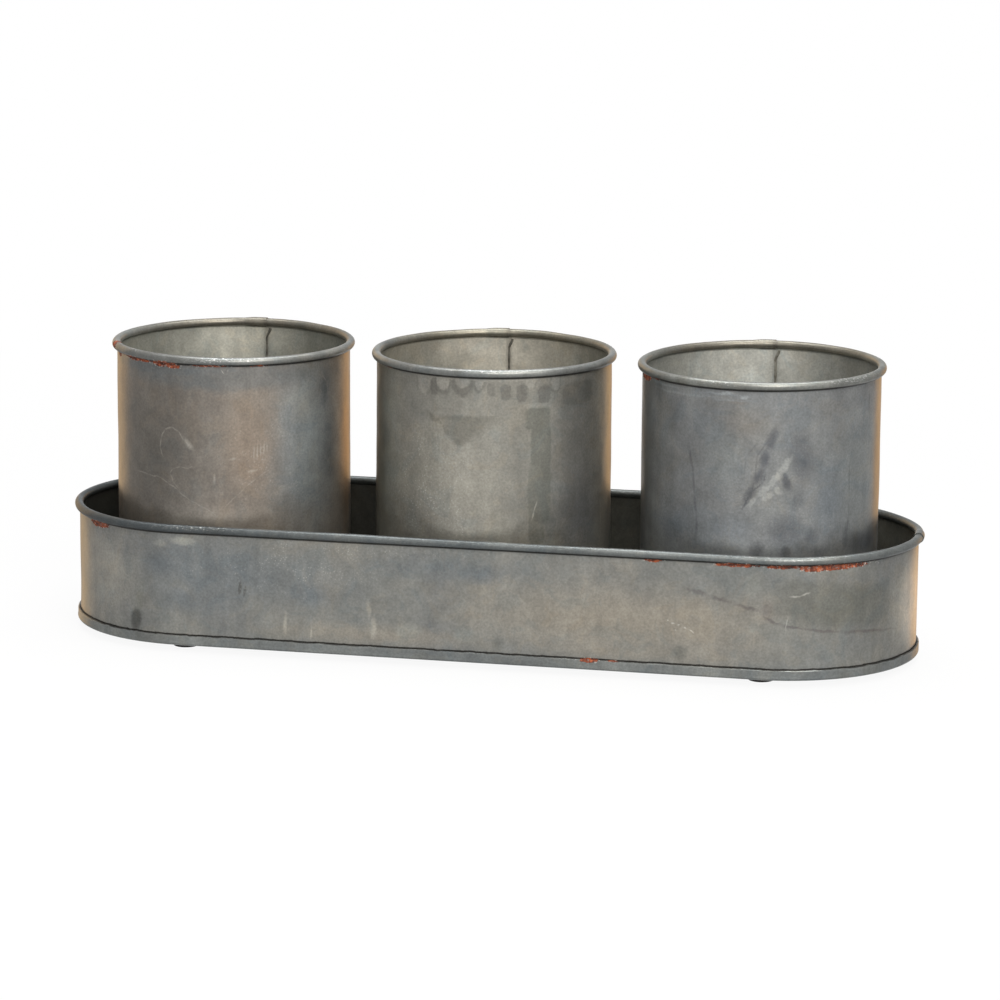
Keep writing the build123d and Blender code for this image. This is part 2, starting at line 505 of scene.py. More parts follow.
def close_tree(tree, geometry, material):
    """End a tree: smooth faces with creased edges, instances made real, material set."""
    rounded = add_node(tree, "GeometryNodeSetShadeSmooth", {"Geometry": geometry}, domain="FACE")
    angle = add_node(tree, "GeometryNodeInputMeshEdgeAngle").outputs["Unsigned Angle"]
    creased = add_node(tree, "FunctionNodeCompare", {"A": angle, "B": math.radians(50)},
                       operation="GREATER_THAN")
    crisp = add_node(tree, "GeometryNodeSetShadeSmooth",
                     {"Geometry": rounded, "Selection": creased, "Shade Smooth": False}, domain="EDGE")
    real = add_node(tree, "GeometryNodeRealizeInstances", {"Geometry": crisp})
    painted = add_node(tree, "GeometryNodeSetMaterial", {"Geometry": real, "Material": material})
    add_node(tree, "NodeGroupOutput", {"Geometry": painted})


def folded_sheet_tree():
    """Sweep a sheet section round a path, ease a lap down and press dents into the walls."""
    tree, given = new_tree("folded sheet", (
        ("Section", "Object"), ("Close Ends", "Bool"), ("Dent Depth", "Float"), ("Dent Length", "Float"),
        ("Lap Drop", "Float"), ("Seed", "Int"), ("Material", "Material")))
    path = add_node(tree, "GeometryNodeMeshToCurve", {"Mesh": given["Geometry"]})
    upright = add_node(tree, "GeometryNodeSetCurveNormal", {"Curve": path}, mode="Z_UP")
    section = add_node(tree, "GeometryNodeObjectInfo", {"Object": given["Section"]})
    profile = add_node(tree, "GeometryNodeMeshToCurve", {"Mesh": section.outputs["Geometry"]})
    swept = add_node(tree, "GeometryNodeCurveToMesh",
                     {"Curve": upright, "Profile Curve": profile, "Fill Caps": given["Close Ends"]})

    read = {}
    for kind, names in (("FLOAT", ("give", "rim", "groove", "ease", "free")),
                        ("FLOAT_VECTOR", ("outward", "lift"))):
        for name in names:
            read[name] = add_node(tree, "GeometryNodeInputNamedAttribute", {"Name": name}, data_type=kind)

    # The lap's free face sinks along its own lift direction as the lap eases out
    sink = add_node(tree, "ShaderNodeMath", (read["ease"], given["Lap Drop"]), operation="MULTIPLY")
    lift = add_node(tree, "ShaderNodeSeparateXYZ", {"Vector": read["lift"]}).outputs
    sink_out = add_node(tree, "ShaderNodeMath", (sink, lift["X"]), operation="MULTIPLY")
    sink_up = add_node(tree, "ShaderNodeMath", (sink, lift["Y"]), operation="MULTIPLY")

    # Dents: broad hollows and, a quarter as long, smaller knocks, both only ever inwards
    place = add_node(tree, "GeometryNodeInputPosition")
    hollows = add_node(tree, "ShaderNodeMath", (1.0, given["Dent Length"]), operation="DIVIDE")
    knocks = add_node(tree, "ShaderNodeMath", (hollows, 4.0), operation="MULTIPLY")
    depths = []
    for scale, detail, low, high, share in ((hollows, 1.0, 0.25, 0.75, 0.8), (knocks, 0.0, 0.2, 0.8, 0.2)):
        waves = add_node(tree, "ShaderNodeTexNoise", {
            "Vector": place, "W": given["Seed"], "Scale": scale, "Detail": detail}, noise_dimensions="4D")
        depths.append(add_node(tree, "ShaderNodeMapRange", (waves, low, high, 0.0, share)))
    both = add_node(tree, "ShaderNodeMath", depths, operation="ADD")
    deep = add_node(tree, "ShaderNodeMath", (both, given["Dent Depth"]), operation="MULTIPLY")
    held = add_node(tree, "ShaderNodeMath", (read["give"], read["free"]), operation="MULTIPLY")
    dent = add_node(tree, "ShaderNodeMath", (deep, held), operation="MULTIPLY")
    off_rim = add_node(tree, "ShaderNodeMath", (1.0, read["rim"]), operation="SUBTRACT")
    line = add_node(tree, "ShaderNodeMath", (read["groove"], off_rim), operation="MULTIPLY")
    inward = add_node(tree, "ShaderNodeMath", (dent, line), operation="ADD")
    total_in = add_node(tree, "ShaderNodeMath", (inward, sink_out), operation="ADD")
    total_out = add_node(tree, "ShaderNodeMath", (total_in, -1.0), operation="MULTIPLY")
    across = add_node(tree, "ShaderNodeVectorMath", {0: read["outward"], "Scale": total_out},
                      operation="SCALE")

    # A rim also dips where it was knocked
    dip = add_node(tree, "ShaderNodeMath", (dent, read["rim"]), operation="MULTIPLY")
    fall = add_node(tree, "ShaderNodeMath", (dip, RIM_DIP), operation="MULTIPLY")
    total_down = add_node(tree, "ShaderNodeMath", (fall, sink_up), operation="ADD")
    down = add_node(tree, "ShaderNodeMath", (total_down, -1.0), operation="MULTIPLY")
    upward = add_node(tree, "ShaderNodeCombineXYZ", {"Z": down})
    shift = add_node(tree, "ShaderNodeVectorMath", (across, upward), operation="ADD")
    dented = add_node(tree, "GeometryNodeSetPosition", {"Geometry": swept, "Offset": shift})
    close_tree(tree, dented, given["Material"])
    return tree


def named_tree(name, maker):
    """A node tree by name, built the first time it is asked for."""
    return bpy.data.node_groups.get(name) or maker()


def linked_object(name, data):
    """Object of a mesh, lamp or camera, placed in the scene."""
    thing = bpy.data.objects.new(name, data)
    bpy.context.scene.collection.objects.link(thing)
    return thing


def edge_mesh(name, points, closed):
    """Object of a chain of points, for a node tree to read as a path or a section."""
    mesh = bpy.data.meshes.new(name)
    edges = [(index, index + 1) for index in range(len(points) - 1)]
    if closed:
        edges.append((len(points) - 1, 0))
    mesh.from_pydata(points, edges, [])
    return linked_object(name, mesh)


def store(helper, items, kind, *names):
    """Give the points of a helper object named attributes, read from one item for each point."""
    field = "vector" if kind == "FLOAT_VECTOR" else "value"
    for name in names:
        attribute = helper.data.attributes.new(name, kind, "POINT")
        for point, item in zip(attribute.data, items):
            setattr(point, field, getattr(item, name))


def run_tree(carrier, tree, settings, helpers):
    """Evaluate a node tree on a carrier object, return the plain mesh and clear the helpers away."""
    modifier = carrier.modifiers.new(tree.name, "NODES")
    modifier.node_group = tree
    for item in tree.interface.items_tree:
        if item.item_type == "SOCKET" and item.in_out == "INPUT" and item.name in settings:
            modifier[item.identifier] = settings[item.name]
    graph = bpy.context.evaluated_depsgraph_get()
    mesh = bpy.data.meshes.new_from_object(carrier.evaluated_get(graph))
    carrier.modifiers.remove(modifier)
    for helper in [carrier] + helpers:
        data = helper.data
        bpy.data.objects.remove(helper)
        bpy.data.meshes.remove(data)
    if not mesh.polygons:
        raise RuntimeError(f"the {tree.name} tree made no faces")
    return mesh


def sweep_sheet(vessel, stations, outline, material, round_path=True, closed_outline=True):
    """Carry a sheet outline round its stations and return the mesh."""
    sheet = vessel.sheet
    path = edge_mesh("path", [station.place for station in stations], round_path)
    store(path, stations, "FLOAT_VECTOR", "outward")
    store(path, stations, "FLOAT", "groove", "ease", "free", "flux")
    # The path lies on the wall's outer face, and a section hangs upside down on its path
    points = [(point.out - vessel.radius, -point.up, 0.0) for point in outline]
    section = edge_mesh("section", points, closed_outline)
    store(section, outline, "FLOAT", "give", "rim", "inside")
    store(section, outline, "FLOAT_VECTOR", "lift")
    settings = {
        "Section": section,
        "Close Ends": not round_path,
        "Dent Depth": sheet.dent_depth,
        "Dent Length": sheet.dent_length,
        "Lap Drop": sheet.thickness * LAP_DROP,
        "Seed": sheet.seed,
        "Material": material,
    }
    return run_tree(path, named_tree("folded sheet", folded_sheet_tree), settings, [section])


def finished_piece(name, mesh, body, slot, *nodes):
    """Make an object of a mesh, ride it on its body and let it stand for its solids."""
    mesh.name = name
    for attribute in ("give", "groove", "ease", "free", "outward", "lift"):
        if attribute in mesh.attributes:
            mesh.attributes.remove(mesh.attributes[attribute])
    piece = linked_object(name, mesh)
    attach(piece, body)
    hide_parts(*nodes)


def joined(meshes):
    """One mesh out of several that share their material and attributes."""
    work = bmesh.new()
    for mesh in meshes:
        work.from_mesh(mesh)
    work.to_mesh(meshes[0])
    work.free()
    for mesh in meshes[1:]:
        bpy.data.meshes.remove(mesh)
    return meshes[0]


def with_floor_plate(mesh):
    """Close the two open loops of a swept floor edge with flat faces."""
    work = bmesh.new()
    work.from_mesh(mesh)
    loops = [edge for edge in work.edges if edge.is_boundary]
    bmesh.ops.holes_fill(work, edges=loops, sides=0)
    bmesh.ops.recalc_face_normals(work, faces=work.faces)
    if any(edge.is_boundary for edge in work.edges):
        raise RuntimeError("a floor plate was left open")
    work.to_mesh(mesh)
    work.free()
    return mesh


def build_sheets(name, slot):
    """Wall strip of one vessel with its rim, hook and lap, and floor sheet with its folded edge."""
    vessel = Vessel(name)
    zinc = weathered_zinc(vessel)
    wall = sweep_sheet(vessel, vessel_round(vessel), wall_outline(vessel), zinc)
    lap = sweep_sheet(vessel, lap_round(vessel), lap_outline(vessel), zinc, round_path=False)
    finished_piece(f"{name}_wall_sheet", joined([wall, lap]), name, slot, f"{name}_wall")
    edge = sweep_sheet(vessel, vessel_round(vessel), floor_outline(vessel), zinc, closed_outline=False)
    finished_piece(f"{name}_floor_sheet", with_floor_plate(edge), name, slot, f"{name}_floor")


def solder_tree():
    """Lumpy bead along an upright path, pressed flat against the wall."""
    tree, given = new_tree("solder bead", (
        ("Width", "Float"), ("Flatness", "Float"), ("Wander", "Float"), ("Along Wall", "Vector"),
        ("Outward", "Vector"), ("Foot", "Vector"), ("Seed", "Int"), ("Material", "Material")))
    path = add_node(tree, "GeometryNodeMeshToCurve", {"Mesh": given["Geometry"]})
    place = add_node(tree, "GeometryNodeInputPosition")
    waves = {}
    for length in (STRAY_LENGTH, LUMP_LENGTH):
        waves[length] = add_node(tree, "ShaderNodeTexNoise", {
            "Vector": place, "W": given["Seed"], "Scale": 1 / length, "Detail": 1.0}, noise_dimensions="4D")
    aside = add_node(tree, "ShaderNodeMapRange", (waves[STRAY_LENGTH], 0.2, 0.8, -1.0, 1.0))
    amount = add_node(tree, "ShaderNodeMath", (aside, given["Wander"]), operation="MULTIPLY")
    move = add_node(tree, "ShaderNodeVectorMath", {0: given["Along Wall"], "Scale": amount},
                    operation="SCALE")
    wandering = add_node(tree, "GeometryNodeSetPosition", {"Geometry": path, "Offset": move})
    swell = add_node(tree, "ShaderNodeMapRange", (waves[LUMP_LENGTH], 0.25, 0.75, 0.6, 1.0))
    half = add_node(tree, "ShaderNodeMath", (given["Width"], 0.5), operation="MULTIPLY")
    ring = add_node(tree, "GeometryNodeCurvePrimitiveCircle", {"Resolution": BEAD_SIDES, "Radius": half})
    bead = add_node(tree, "GeometryNodeCurveToMesh", {
        "Curve": wandering, "Profile Curve": ring.outputs["Curve"], "Scale": swell, "Fill Caps": True})
    from_foot = add_node(tree, "ShaderNodeVectorMath", (place, given["Foot"]), operation="SUBTRACT")
    depth = add_node(tree, "ShaderNodeVectorMath", (from_foot, given["Outward"]), operation="DOT_PRODUCT")
    press = add_node(tree, "ShaderNodeMath", (given["Flatness"], 1.0), operation="SUBTRACT")
    pressed = add_node(tree, "ShaderNodeMath", (depth.outputs["Value"], press), operation="MULTIPLY")
    squeeze = add_node(tree, "ShaderNodeVectorMath", {0: given["Outward"], "Scale": pressed},
                       operation="SCALE")
    flat = add_node(tree, "GeometryNodeSetPosition", {"Geometry": bead, "Offset": squeeze})
    close_tree(tree, flat, given["Material"])
    return tree


def build_solder(vessel):
    """Solder bead over the free edge of the lap, on the inside of the wall."""
    sheet = vessel.sheet
    solder = bpy.context.scene.planter_solder
    out = (math.cos(vessel.seam), math.sin(vessel.seam))
    reach = vessel.radius - BEAD_SEAT * sheet.thickness
    foot = Vector((vessel.middle_x + vessel.half_length + reach * out[0], reach * out[1],
                   vessel.underside + 2 * sheet.thickness))
    tall = vessel.joggle[1] - foot.z
    count = round(tall / BEAD_STEP)
    points = []
    for index in range(count + 1):
        rise = tall * index / count
        lean = solder.lean * smooth((rise - tall) / LEAN_LENGTH + 1)
        points.append(foot + Vector((out[1] * lean, -out[0] * lean, rise)))
    settings = {
        "Width": solder.width,
        "Flatness": 2 * solder.height / solder.width,
        "Wander": solder.wander,
        "Along Wall": (-out[1], out[0], 0.0),
        "Outward": (out[0], out[1], 0.0),
        "Foot": foot,
        "Seed": sheet.seed,
        "Material": dull_solder(vessel),
    }
    path = edge_mesh("seam", points, False)
    mesh = run_tree(path, named_tree("solder bead", solder_tree), settings, [])
    finished_piece(f"{vessel.name}_solder_bead", mesh, vessel.name, "solder", f"{vessel.name}_seam_solder")


def feet_tree():
    """Set one foot at each point."""
    tree, given = new_tree("rubber feet", (("Foot", "Object"), ("Material", "Material")))
    shape = add_node(tree, "GeometryNodeObjectInfo", {"Object": given["Foot"], "As Instance": True})
    points = add_node(tree, "GeometryNodeMeshToPoints", {"Mesh": given["Geometry"]})
    feet = add_node(tree, "GeometryNodeInstanceOnPoints",
                    {"Points": points, "Instance": shape.outputs["Geometry"]})
    # Creases are set on real faces, so the feet are made real before the tree is closed
    real = add_node(tree, "GeometryNodeRealizeInstances", {"Geometry": feet})
    close_tree(tree, real, given["Material"])
    return tree


def turned_foot(radius, height):
    """Moulded rubber foot: flat top, slight draft, parting line, rounded edge and hollow sole."""
    rounding = 0.6 * MM
    bevel = 0.2 * MM
    inset = 0.12 * MM      # below the parting line
    steps = 6
    side = [(0.0, height), (radius - bevel, height), (radius, height - bevel),
            (radius, rounding + 0.35 * MM), (radius - inset, rounding + 0.2 * MM)]
    for step in range(steps + 1):
        angle = -math.pi / 2 * step / steps
        side.append((radius - inset - rounding + rounding * math.cos(angle),
                     rounding + rounding * math.sin(angle)))
    side += [(radius * 0.5, 0.0), (radius * 0.44, 0.25 * MM), (0.0, 0.35 * MM)]
    work = bmesh.new()
    chain = [work.verts.new((out, 0.0, up)) for out, up in side]
    for first, second in zip(chain, chain[1:]):
        work.edges.new((first, second))
    bmesh.ops.spin(work, geom=work.verts[:] + work.edges[:], axis=(0, 0, 1), cent=(0, 0, 0),
                   steps=40, angle=2 * math.pi)
    bmesh.ops.remove_doubles(work, verts=work.verts, dist=0.01 * MM)
    bmesh.ops.recalc_face_normals(work, faces=work.faces)
    mesh = bpy.data.meshes.new("foot")
    work.to_mesh(mesh)
    work.free()
    return linked_object("foot", mesh)


def bare_tree(owner):
    """Node tree of a new material or world, with nothing in it."""
    owner.use_nodes = True
    owner.node_tree.nodes.clear()
    return owner.node_tree


def new_material(name):
    """Material with an empty node tree; returns both and the object's coordinates."""
    material = bpy.data.materials.new(name)
    tree = bare_tree(material)
    return material, tree, add_node(tree, "ShaderNodeTexCoord").outputs["Object"]


def close_material(tree, sockets):
    """End a piece's material: its shader, with sockets linked or set, and the output."""
    shader = add_node(tree, "ShaderNodeBsdfPrincipled", sockets)
    add_node(tree, "ShaderNodeOutputMaterial", {"Surface": shader})


def marked(tree, surface, marks, edge, shape="oval"):
    """Highest value of a group of marks: each is a patch on the surface, full in its middle.

    A mark is (along, up, half width, half height, strength) in millimetres, with its turn in
    degrees at the end if it has one.  A square patch has straight sides and rounded corners.
    """
    highest = None
    for along, up, half_width, half_height, strength, *turn in marks:
        angle = math.radians(turn[0]) if turn else 0.0
        local = add_node(tree, "ShaderNodeMapping", {
            "Vector": surface, "Location": (along * MM, 0.0, up * MM), "Rotation": (0.0, angle, 0.0),
            "Scale": (half_width * MM, 1.0, half_height * MM)}, vector_type="TEXTURE")
        if shape == "square":
            local = add_node(tree, "ShaderNodeVectorMath", (local, local), operation="MULTIPLY")
        away = add_node(tree, "ShaderNodeVectorMath", (local,), operation="LENGTH").outputs["Value"]
        patch = add_node(tree, "ShaderNodeMapRange", (away, 1.0, 1.0 - edge, 0.0, strength),
                         interpolation_type="SMOOTHSTEP")
        if highest is None:
            highest = patch
        else:
            highest = add_node(tree, "ShaderNodeMath", (highest, patch), operation="MAXIMUM")
    return highest


def scratch(strength, half_width, *points):
    """Marks along a scratch through (along, up) points: a thin oval for each stretch of it."""
    reach = 0.8            # half of an oval's length as a share of its stretch, so that ovals overlap
    marks = []
    for start, end in zip(points, points[1:]):
        rise = math.degrees(math.atan2(end[1] - start[1], end[0] - start[0]))
        marks.append(((start[0] + end[0]) / 2, (start[1] + end[1]) / 2, math.dist(start, end) * reach,
                      half_width, strength, -rise))
    return marks


def layer(colour, *marks, outline="ragged", shape="oval", edge=0.95):
    """Marks of one colour, with how their outline wanders, their shape and the softness of their edge."""
    return colour, marks, outline, shape, edge


# Looks of the four vessels.  Two greys stand for the darker and the paler parts of a region, and
# pale is where along the row a vessel is palest inside, and how far that reaches: a painted lit
# place, on the tray's rim as well.  Some layers are painted light and shade rather than stains:
# darker flanks, warm painted reflections down the pots' edges, painted highlights, and paler belts
# low on the pots.  In a mark, along runs to the right from the middle of the front and up from the table.
BAND_GREYS = ("#6c7172", "#8b8f8d")
LOOKS = {
    "pot_left": {
        "tones": ("#7c756e", "#928b82"),
        "rim": ("#6a6c6a", "#8c8d89"),
        "rim_back": ("#66635b", "#837f74"),
        "band": BAND_GREYS,
        "inside": ("#7a7b74", "#c4c3b8"),
        "inside_front": ("#7d807a", "#a5a69f"),
        "pale": (-15, 40),
        "solder": ("#66655f", "#98968e"),
        "layers": (
            # Partly a cool tone, partly painted light: paler right flank
            layer("#9aa1a3", (54, 95, 28, 66, 0.9)),
            # Painted reflection: warm strip down the right edge
            layer("#9c7f5c", (87, 92, 12, 60, 0.7), edge=0.9),
            # Painted reflection: warm strip down the left edge
            layer("#b08a62", (-80, 84, 12, 44, 0.7), edge=0.9),
            # Partly a darker tone, partly painted shade: darker left flank
            layer("#64625d", (-28, 90, 42, 58, 0.62)),
            layer("#a08f7e", (22, 98, 20, 42, 0.6), (18, 60, 26, 18, 0.5)),
            # Painted light: paler belt low on the pot, against the shade and dark reflection of the tray
            # round it
            layer("#b0aaa1", (4, 60, 70, 13, 0.6)),
            layer("#a5a7a4", (48, 117, 14, 15, 0.7)),
            layer("#5e646a", (64, 121, 5, 14, 0.6), (67, 92, 8, 34, 0.3), edge=0.9),
            layer("#72787a", (-24, 132.5, 42, 4.6, 0.7), (8, 130, 74, 8, 0.5), edge=0.6),
            layer("#b9b4aa",
                  *scratch(0.42, 0.6, (-21.2, 91.1), (-22.2, 94.7), (-22.1, 99.7), (-20, 103.3),
                           (-15.6, 105), (-12.3, 103.6), (-9.2, 99.4)),
                  *scratch(0.36, 0.55, (-37.5, 81.8), (-29.7, 81.1), (-21.8, 81.3), (-17.8, 78.6),
                           (-13, 75.8), (-6.7, 71), (0.1, 67.7), (7.6, 63.8)),
                  *scratch(0.25, 0.45, (-11.2, 74.7), (-14.9, 79), (-16.8, 83.7), (-15.3, 86.4),
                           (-11.1, 88), (-8.4, 87), (-4.8, 88.5)),
                  *scratch(0.3, 0.5, (11.3, 68.9), (16.6, 74.7), (20.6, 78.3), (26.4, 82.7), (31.9, 86.1)),
                  *scratch(0.3, 0.45, (62, 129), (66, 124), (67, 119), (72, 116)),
                  *scratch(0.6, 2.0, (-10, 100.9), (-4.8, 96.4)), (25, 94, 0.55, 4.8, 0.5, 4),
                  (26.6, 94.5, 0.55, 5, 0.55, 4), (28.2, 95.2, 0.55, 4.4, 0.6, 4),
                  (29.8, 96, 0.55, 4, 0.55, 4), (31.4, 97, 0.55, 3.2, 0.45, 4),
                  (23.5, 85.4, 3.6, 1.1, 0.5, -14), (15, 91.5, 2.4, 0.9, 0.5, -10),
                  (5.7, 82, 1.2, 4.2, 0.45), (10.5, 133.2, 0.4, 1.8, 0.7, -30),
                  (13, 133.6, 0.3, 1.2, 0.6, 20), outline="bent", edge=1.0),
        ),
        "specks": ((40, 90, 60, 50, 0.4),),
        "worn": ((12, 138.6, 26, 2.0, 1.0), (-40, 139, 12, 1.2, 0.5)),
        "rust": ((-62, 138, 6, 3, 1.0), (-58, 135, 4, 2.6, 0.9), (-19, 135, 10, 2.3, 1.0),
                 (-14, 134.4, 5, 1.6, 1.0), (-38, 135.4, 16, 1.5, 1.0), (3, 135.6, 14, 0.8, 0.8),
                 (27, 135.6, 6, 0.7, 0.8)),
    },
    "pot_middle": {
        "tones": ("#80807a", "#949186"),
        "rim": ("#6b6d6c", "#8c8e8a"),
        "rim_back": ("#67645a", "#848073"),
        "band": BAND_GREYS,
        "inside": ("#7b7a71", "#c2beb2"),
        "inside_front": ("#82817a", "#a8a59c"),
        "pale": (-8, 54),
        "solder": ("#63625c", "#95938b"),
        "layers": (
            # Partly a greenish tone, partly painted shade: darker left flank
            layer("#686b62", (-70, 84, 38, 72, 0.75)),
            # Painted shade: dark strip down the left edge
            layer("#484a45", (-80, 92, 18, 64, 0.75), edge=0.9),
            # Painted highlight: broad pale column down the middle of the front
            layer("#aaa79d", (-2, 92, 28, 62, 0.7)),
            # Partly a bluish tone, partly painted shade: darker right flank
            layer("#7d7e7e", (56, 85, 26, 64, 0.6)),
            layer("#666a70", (58, 66, 20, 20, 0.4), edge=0.9),
            # Painted light: paler belt low on the pot, against the shade and dark reflection of the tray
            # round it
            layer("#b3b0a6", (4, 60, 60, 13, 0.6)),
            layer("#6e6c66", (-23, 134, 5.6, 10.4, 0.4), (-12.4, 133, 5, 7.4, 0.5),
                  (-3, 134, 6.6, 8.6, 0.55), (4.9, 134, 3.4, 6, 0.5), (41.9, 134, 4, 8.4, 0.45),
                  outline="torn", edge=0.3),
            layer("#73716b", (-17.4, 130.6, 2.2, 5, 0.6), (10.4, 130.4, 2.4, 3.2, 0.5),
                  (17.4, 129.2, 2.6, 4.2, 0.6), (25, 128.6, 2.8, 4.4, 0.65), (36, 127.6, 3.6, 4.8, 0.65),
                  (56, 126.4, 11.5, 6, 0.55), outline="torn", shape="square", edge=0.4),
            layer("#a9a69d", (-23, 134, 4.6, 9.2, 0.55), (-12.4, 133.4, 3.8, 5.2, 0.65),
                  (-3, 134.4, 4.4, 4.2, 0.65), (4.9, 134, 2.2, 4.4, 0.55), (29.1, 134, 3.1, 4, 0.5),
                  (41.9, 134, 2.8, 6.6, 0.5), (5, 135.4, 40, 1.4, 0.5), outline="torn", edge=0.3),
            layer("#76746b", *scratch(0.6, 1.8, (-21.3, 118.6), (-12.9, 113), (-8.5, 107.6)),
                  *((-1 - 0.55 * step, 116 - 1.8 * step, 23 - 3.1 * step, 2.8, 0.6) for step in range(7)),
                  (8, 117.4, 9, 0.9, 0.5, -3), outline="torn", edge=0.7),
            layer("#74756d", (33, 116.4, 6.8, 6, 0.7), (34.6, 101, 5.6, 17, 0.7), (34, 82, 6.4, 17, 0.65),
                  (32.6, 66, 4.4, 10, 0.5), outline="torn", shape="square", edge=0.35),
            layer("#a09e95", (32.3, 122.7, 7, 1.5, 0.5), outline="bent", shape="square", edge=0.6),
            layer("#c4c1b7", *scratch(0.5, 0.5, (30.5, 69), (31.6, 73), (33, 78)),
                  *scratch(0.45, 0.45, (75, 53), (75.6, 60), (75.2, 67), (74.8, 74)), outline="bent",
                  edge=0.9),
        ),
        "specks": ((-18, 80, 38, 44, 1.0), (-8, 66, 28, 14, 1.0)),
        "worn": ((10, 138.8, 28, 1.2, 0.7),),
        "rust": ((-46, 135.6, 3, 0.5, 0.7),),
    },
    "pot_right": {
        "tones": ("#7c7e7e", "#909290"),
        "rim": ("#6c6e6b", "#8d8f8a"),
        "rim_back": ("#68655c", "#868277"),
        "band": BAND_GREYS,
        "inside": ("#787974", "#cccdc6"),
        "inside_front": ("#82817c", "#aaa9a3"),
        "pale": (-13, 50),
        "solder": ("#8b897f", "#b9b7ad"),
        "layers": (
            # Painted shade: darker left flank
            layer("#6b6c6c", (-66, 88, 22, 64, 0.5)),
            # Painted shade: dark strip down the left edge
            layer("#51534f", (-82, 92, 16, 64, 0.7), edge=0.9),
            layer("#8f9493", (60, 90, 34, 46, 0.6), (-8, 104, 16, 22, 0.45)),
            # Painted reflection: warm strip down the right edge
            layer("#8a7a66", (83, 92, 11, 60, 0.8), edge=0.9),
            layer("#79828a", (42, 84, 14, 26, 0.5), (-4, 70, 14, 12, 0.4), (-38, 68, 16, 16, 0.45),
                  (24, 64, 14, 10, 0.4)),
            layer("#8c857b", (0, 122, 16, 11, 0.45), (-1.3, 130.4, 6, 1.8, 0.5)),
            # Painted light: paler belt low on the pot, against the shade and dark reflection of the tray
            # round it
            layer("#a3a6a7", (8, 60, 70, 13, 0.6)),
            layer("#9aa0a3", (-42, 134.2, 26, 0.9, 0.65), (-30, 131.6, 30, 1.1, 0.6),
                  (-14, 133.2, 22, 0.8, 0.65), (-6, 130.6, 14, 0.8, 0.5), (-22, 132.6, 34, 3.6, 0.35),
                  outline="bent", edge=0.8),
            # Painted highlight: small pale spots under the rim
            layer("#bcc2c5", (1, 132.6, 3.2, 1.5, 0.5), (-8, 133.8, 6, 0.6, 0.45), edge=0.8),
            layer("#5d6065", *scratch(0.75, 3.4, (16, 119), (11.4, 108.5), (9.6, 100), (6, 92), (1, 82.5)),
                  (20.6, 94, 3, 7.5, 0.8, -20), (27, 106, 10, 17, 0.55, -15), (20, 71, 14, 12, 0.6),
                  (8, 62, 5.5, 6, 0.6), (21, 61, 4, 6, 0.65), (33, 68, 6, 5, 0.45), (70, 61, 18, 7, 0.6),
                  (53, 66, 3, 9, 0.5, 8), (26, 84, 5, 7, 0.4, 30), outline="torn", edge=0.8),
            layer("#505257", *scratch(0.55, 0.8, (0.4, 81.2), (4.3, 88.8), (9.8, 93.8), (10.6, 96.3)),
                  *scratch(0.35, 0.6, (4.4, 87.1), (5.8, 95.4), (7.2, 105.2), (12.6, 113.4)),
                  *scratch(0.25, 0.6, (1, 96), (2.4, 105), (7.1, 111.7)),
                  *scratch(0.4, 1.0, (-26.4, 107.4), (-24.2, 95.4), (-23, 86.5), (-22.3, 76.7),
                           (-22.5, 62.6)), *scratch(0.35, 0.7, (55.1, 101.6), (55.2, 82.6), (52.8, 66.4)),
                  *scratch(0.45, 0.8, (69.9, 129.8), (70.3, 121.5)), outline="bent", edge=0.9),
            layer("#a9aba8", *scratch(0.7, 2.4, (22.5, 104.5), (17, 97.5), (13, 92), (8, 87.4)),
                  (12, 87, 4.4, 2.2, 0.75, -38), (17, 89.4, 3.6, 2, 0.7, 42), (5, 84, 3.6, 1.4, 0.55, -42),
                  outline="torn", edge=0.6),
        ),
        "specks": ((20, 90, 70, 50, 0.25),),
        "worn": ((56, 138.8, 26, 1.6, 1.0), (-10, 138.8, 14, 1.2, 0.6)),
        "rust": ((-65, 134.2, 12, 2.3, 1.0), (-50, 135.5, 4, 0.7, 0.8)),
    },
    "tray": {
        "tones": ("#7f8181", "#95938c"),
        "rim": ("#525759", "#727675"),
        "rim_back": ("#474b4c", "#606361"),
        "band": BAND_GREYS,
        # The tray's dark inside greys are partly its own darker finish and partly painted shade
        "inside": ("#3e3e3a", "#66665f"),
        # Its front inner wall, which the pots reflect, keeps paler greys without that painted shade
        "inside_front": ("#82837e", "#9b9c95"),
        # Painted light: the tray's inside and rim turn paler towards the right end
        "pale": (160, 320),
        "solder": ("#4a4944", "#77766f"),
        "layers": (
            layer("#7b8082", (-110, 38, 84, 22, 0.75), (-10, 47, 70, 9, 0.5)),
            layer("#a39b8d", (74, 28, 112, 24, 0.75), (-40, 14, 70, 8, 0.6), (80, 14, 80, 8, 0.5)),
            layer("#6d757b", (-145.6, 42.6, 14, 8, 0.5), (-136, 24.3, 16, 8, 0.5), (-73, 30.6, 15, 8, 0.5),
                  (10, 45, 16, 6, 0.4)),
            layer("#787d76", (174, 37, 20, 12, 0.55), (-157, 24, 4, 14, 0.4, 10), edge=0.9),
            # Painted light: paler patches at both ends of the tray
            layer("#aaa79e", (-174, 34, 26, 28, 0.8), (199, 30, 9, 30, 0.8), edge=0.9),
            # Painted reflection: warm pale strip down the right end's edge
            layer("#dcd2c2", (203, 30, 7, 32, 0.9), edge=0.9),
            layer("#949690", (-25.7, 16.5, 8, 4.6, 0.5), (1.1, 16.1, 7, 4, 0.5), (135.2, 48, 5, 6, 0.4),
                  edge=0.5),
            layer("#a5a69f", (-134.3, 53.5, 8.5, 2.8, 0.8), (-146, 52, 4, 2.4, 0.4), edge=0.6),
            layer("#5f605d", (-158.6, 14, 3.6, 6.4, 0.9), (-106.5, 32.8, 1.0, 3.8, 0.8, 14),
                  (-104.6, 31.6, 0.7, 3, 0.65, 14), outline="bent", edge=0.5),
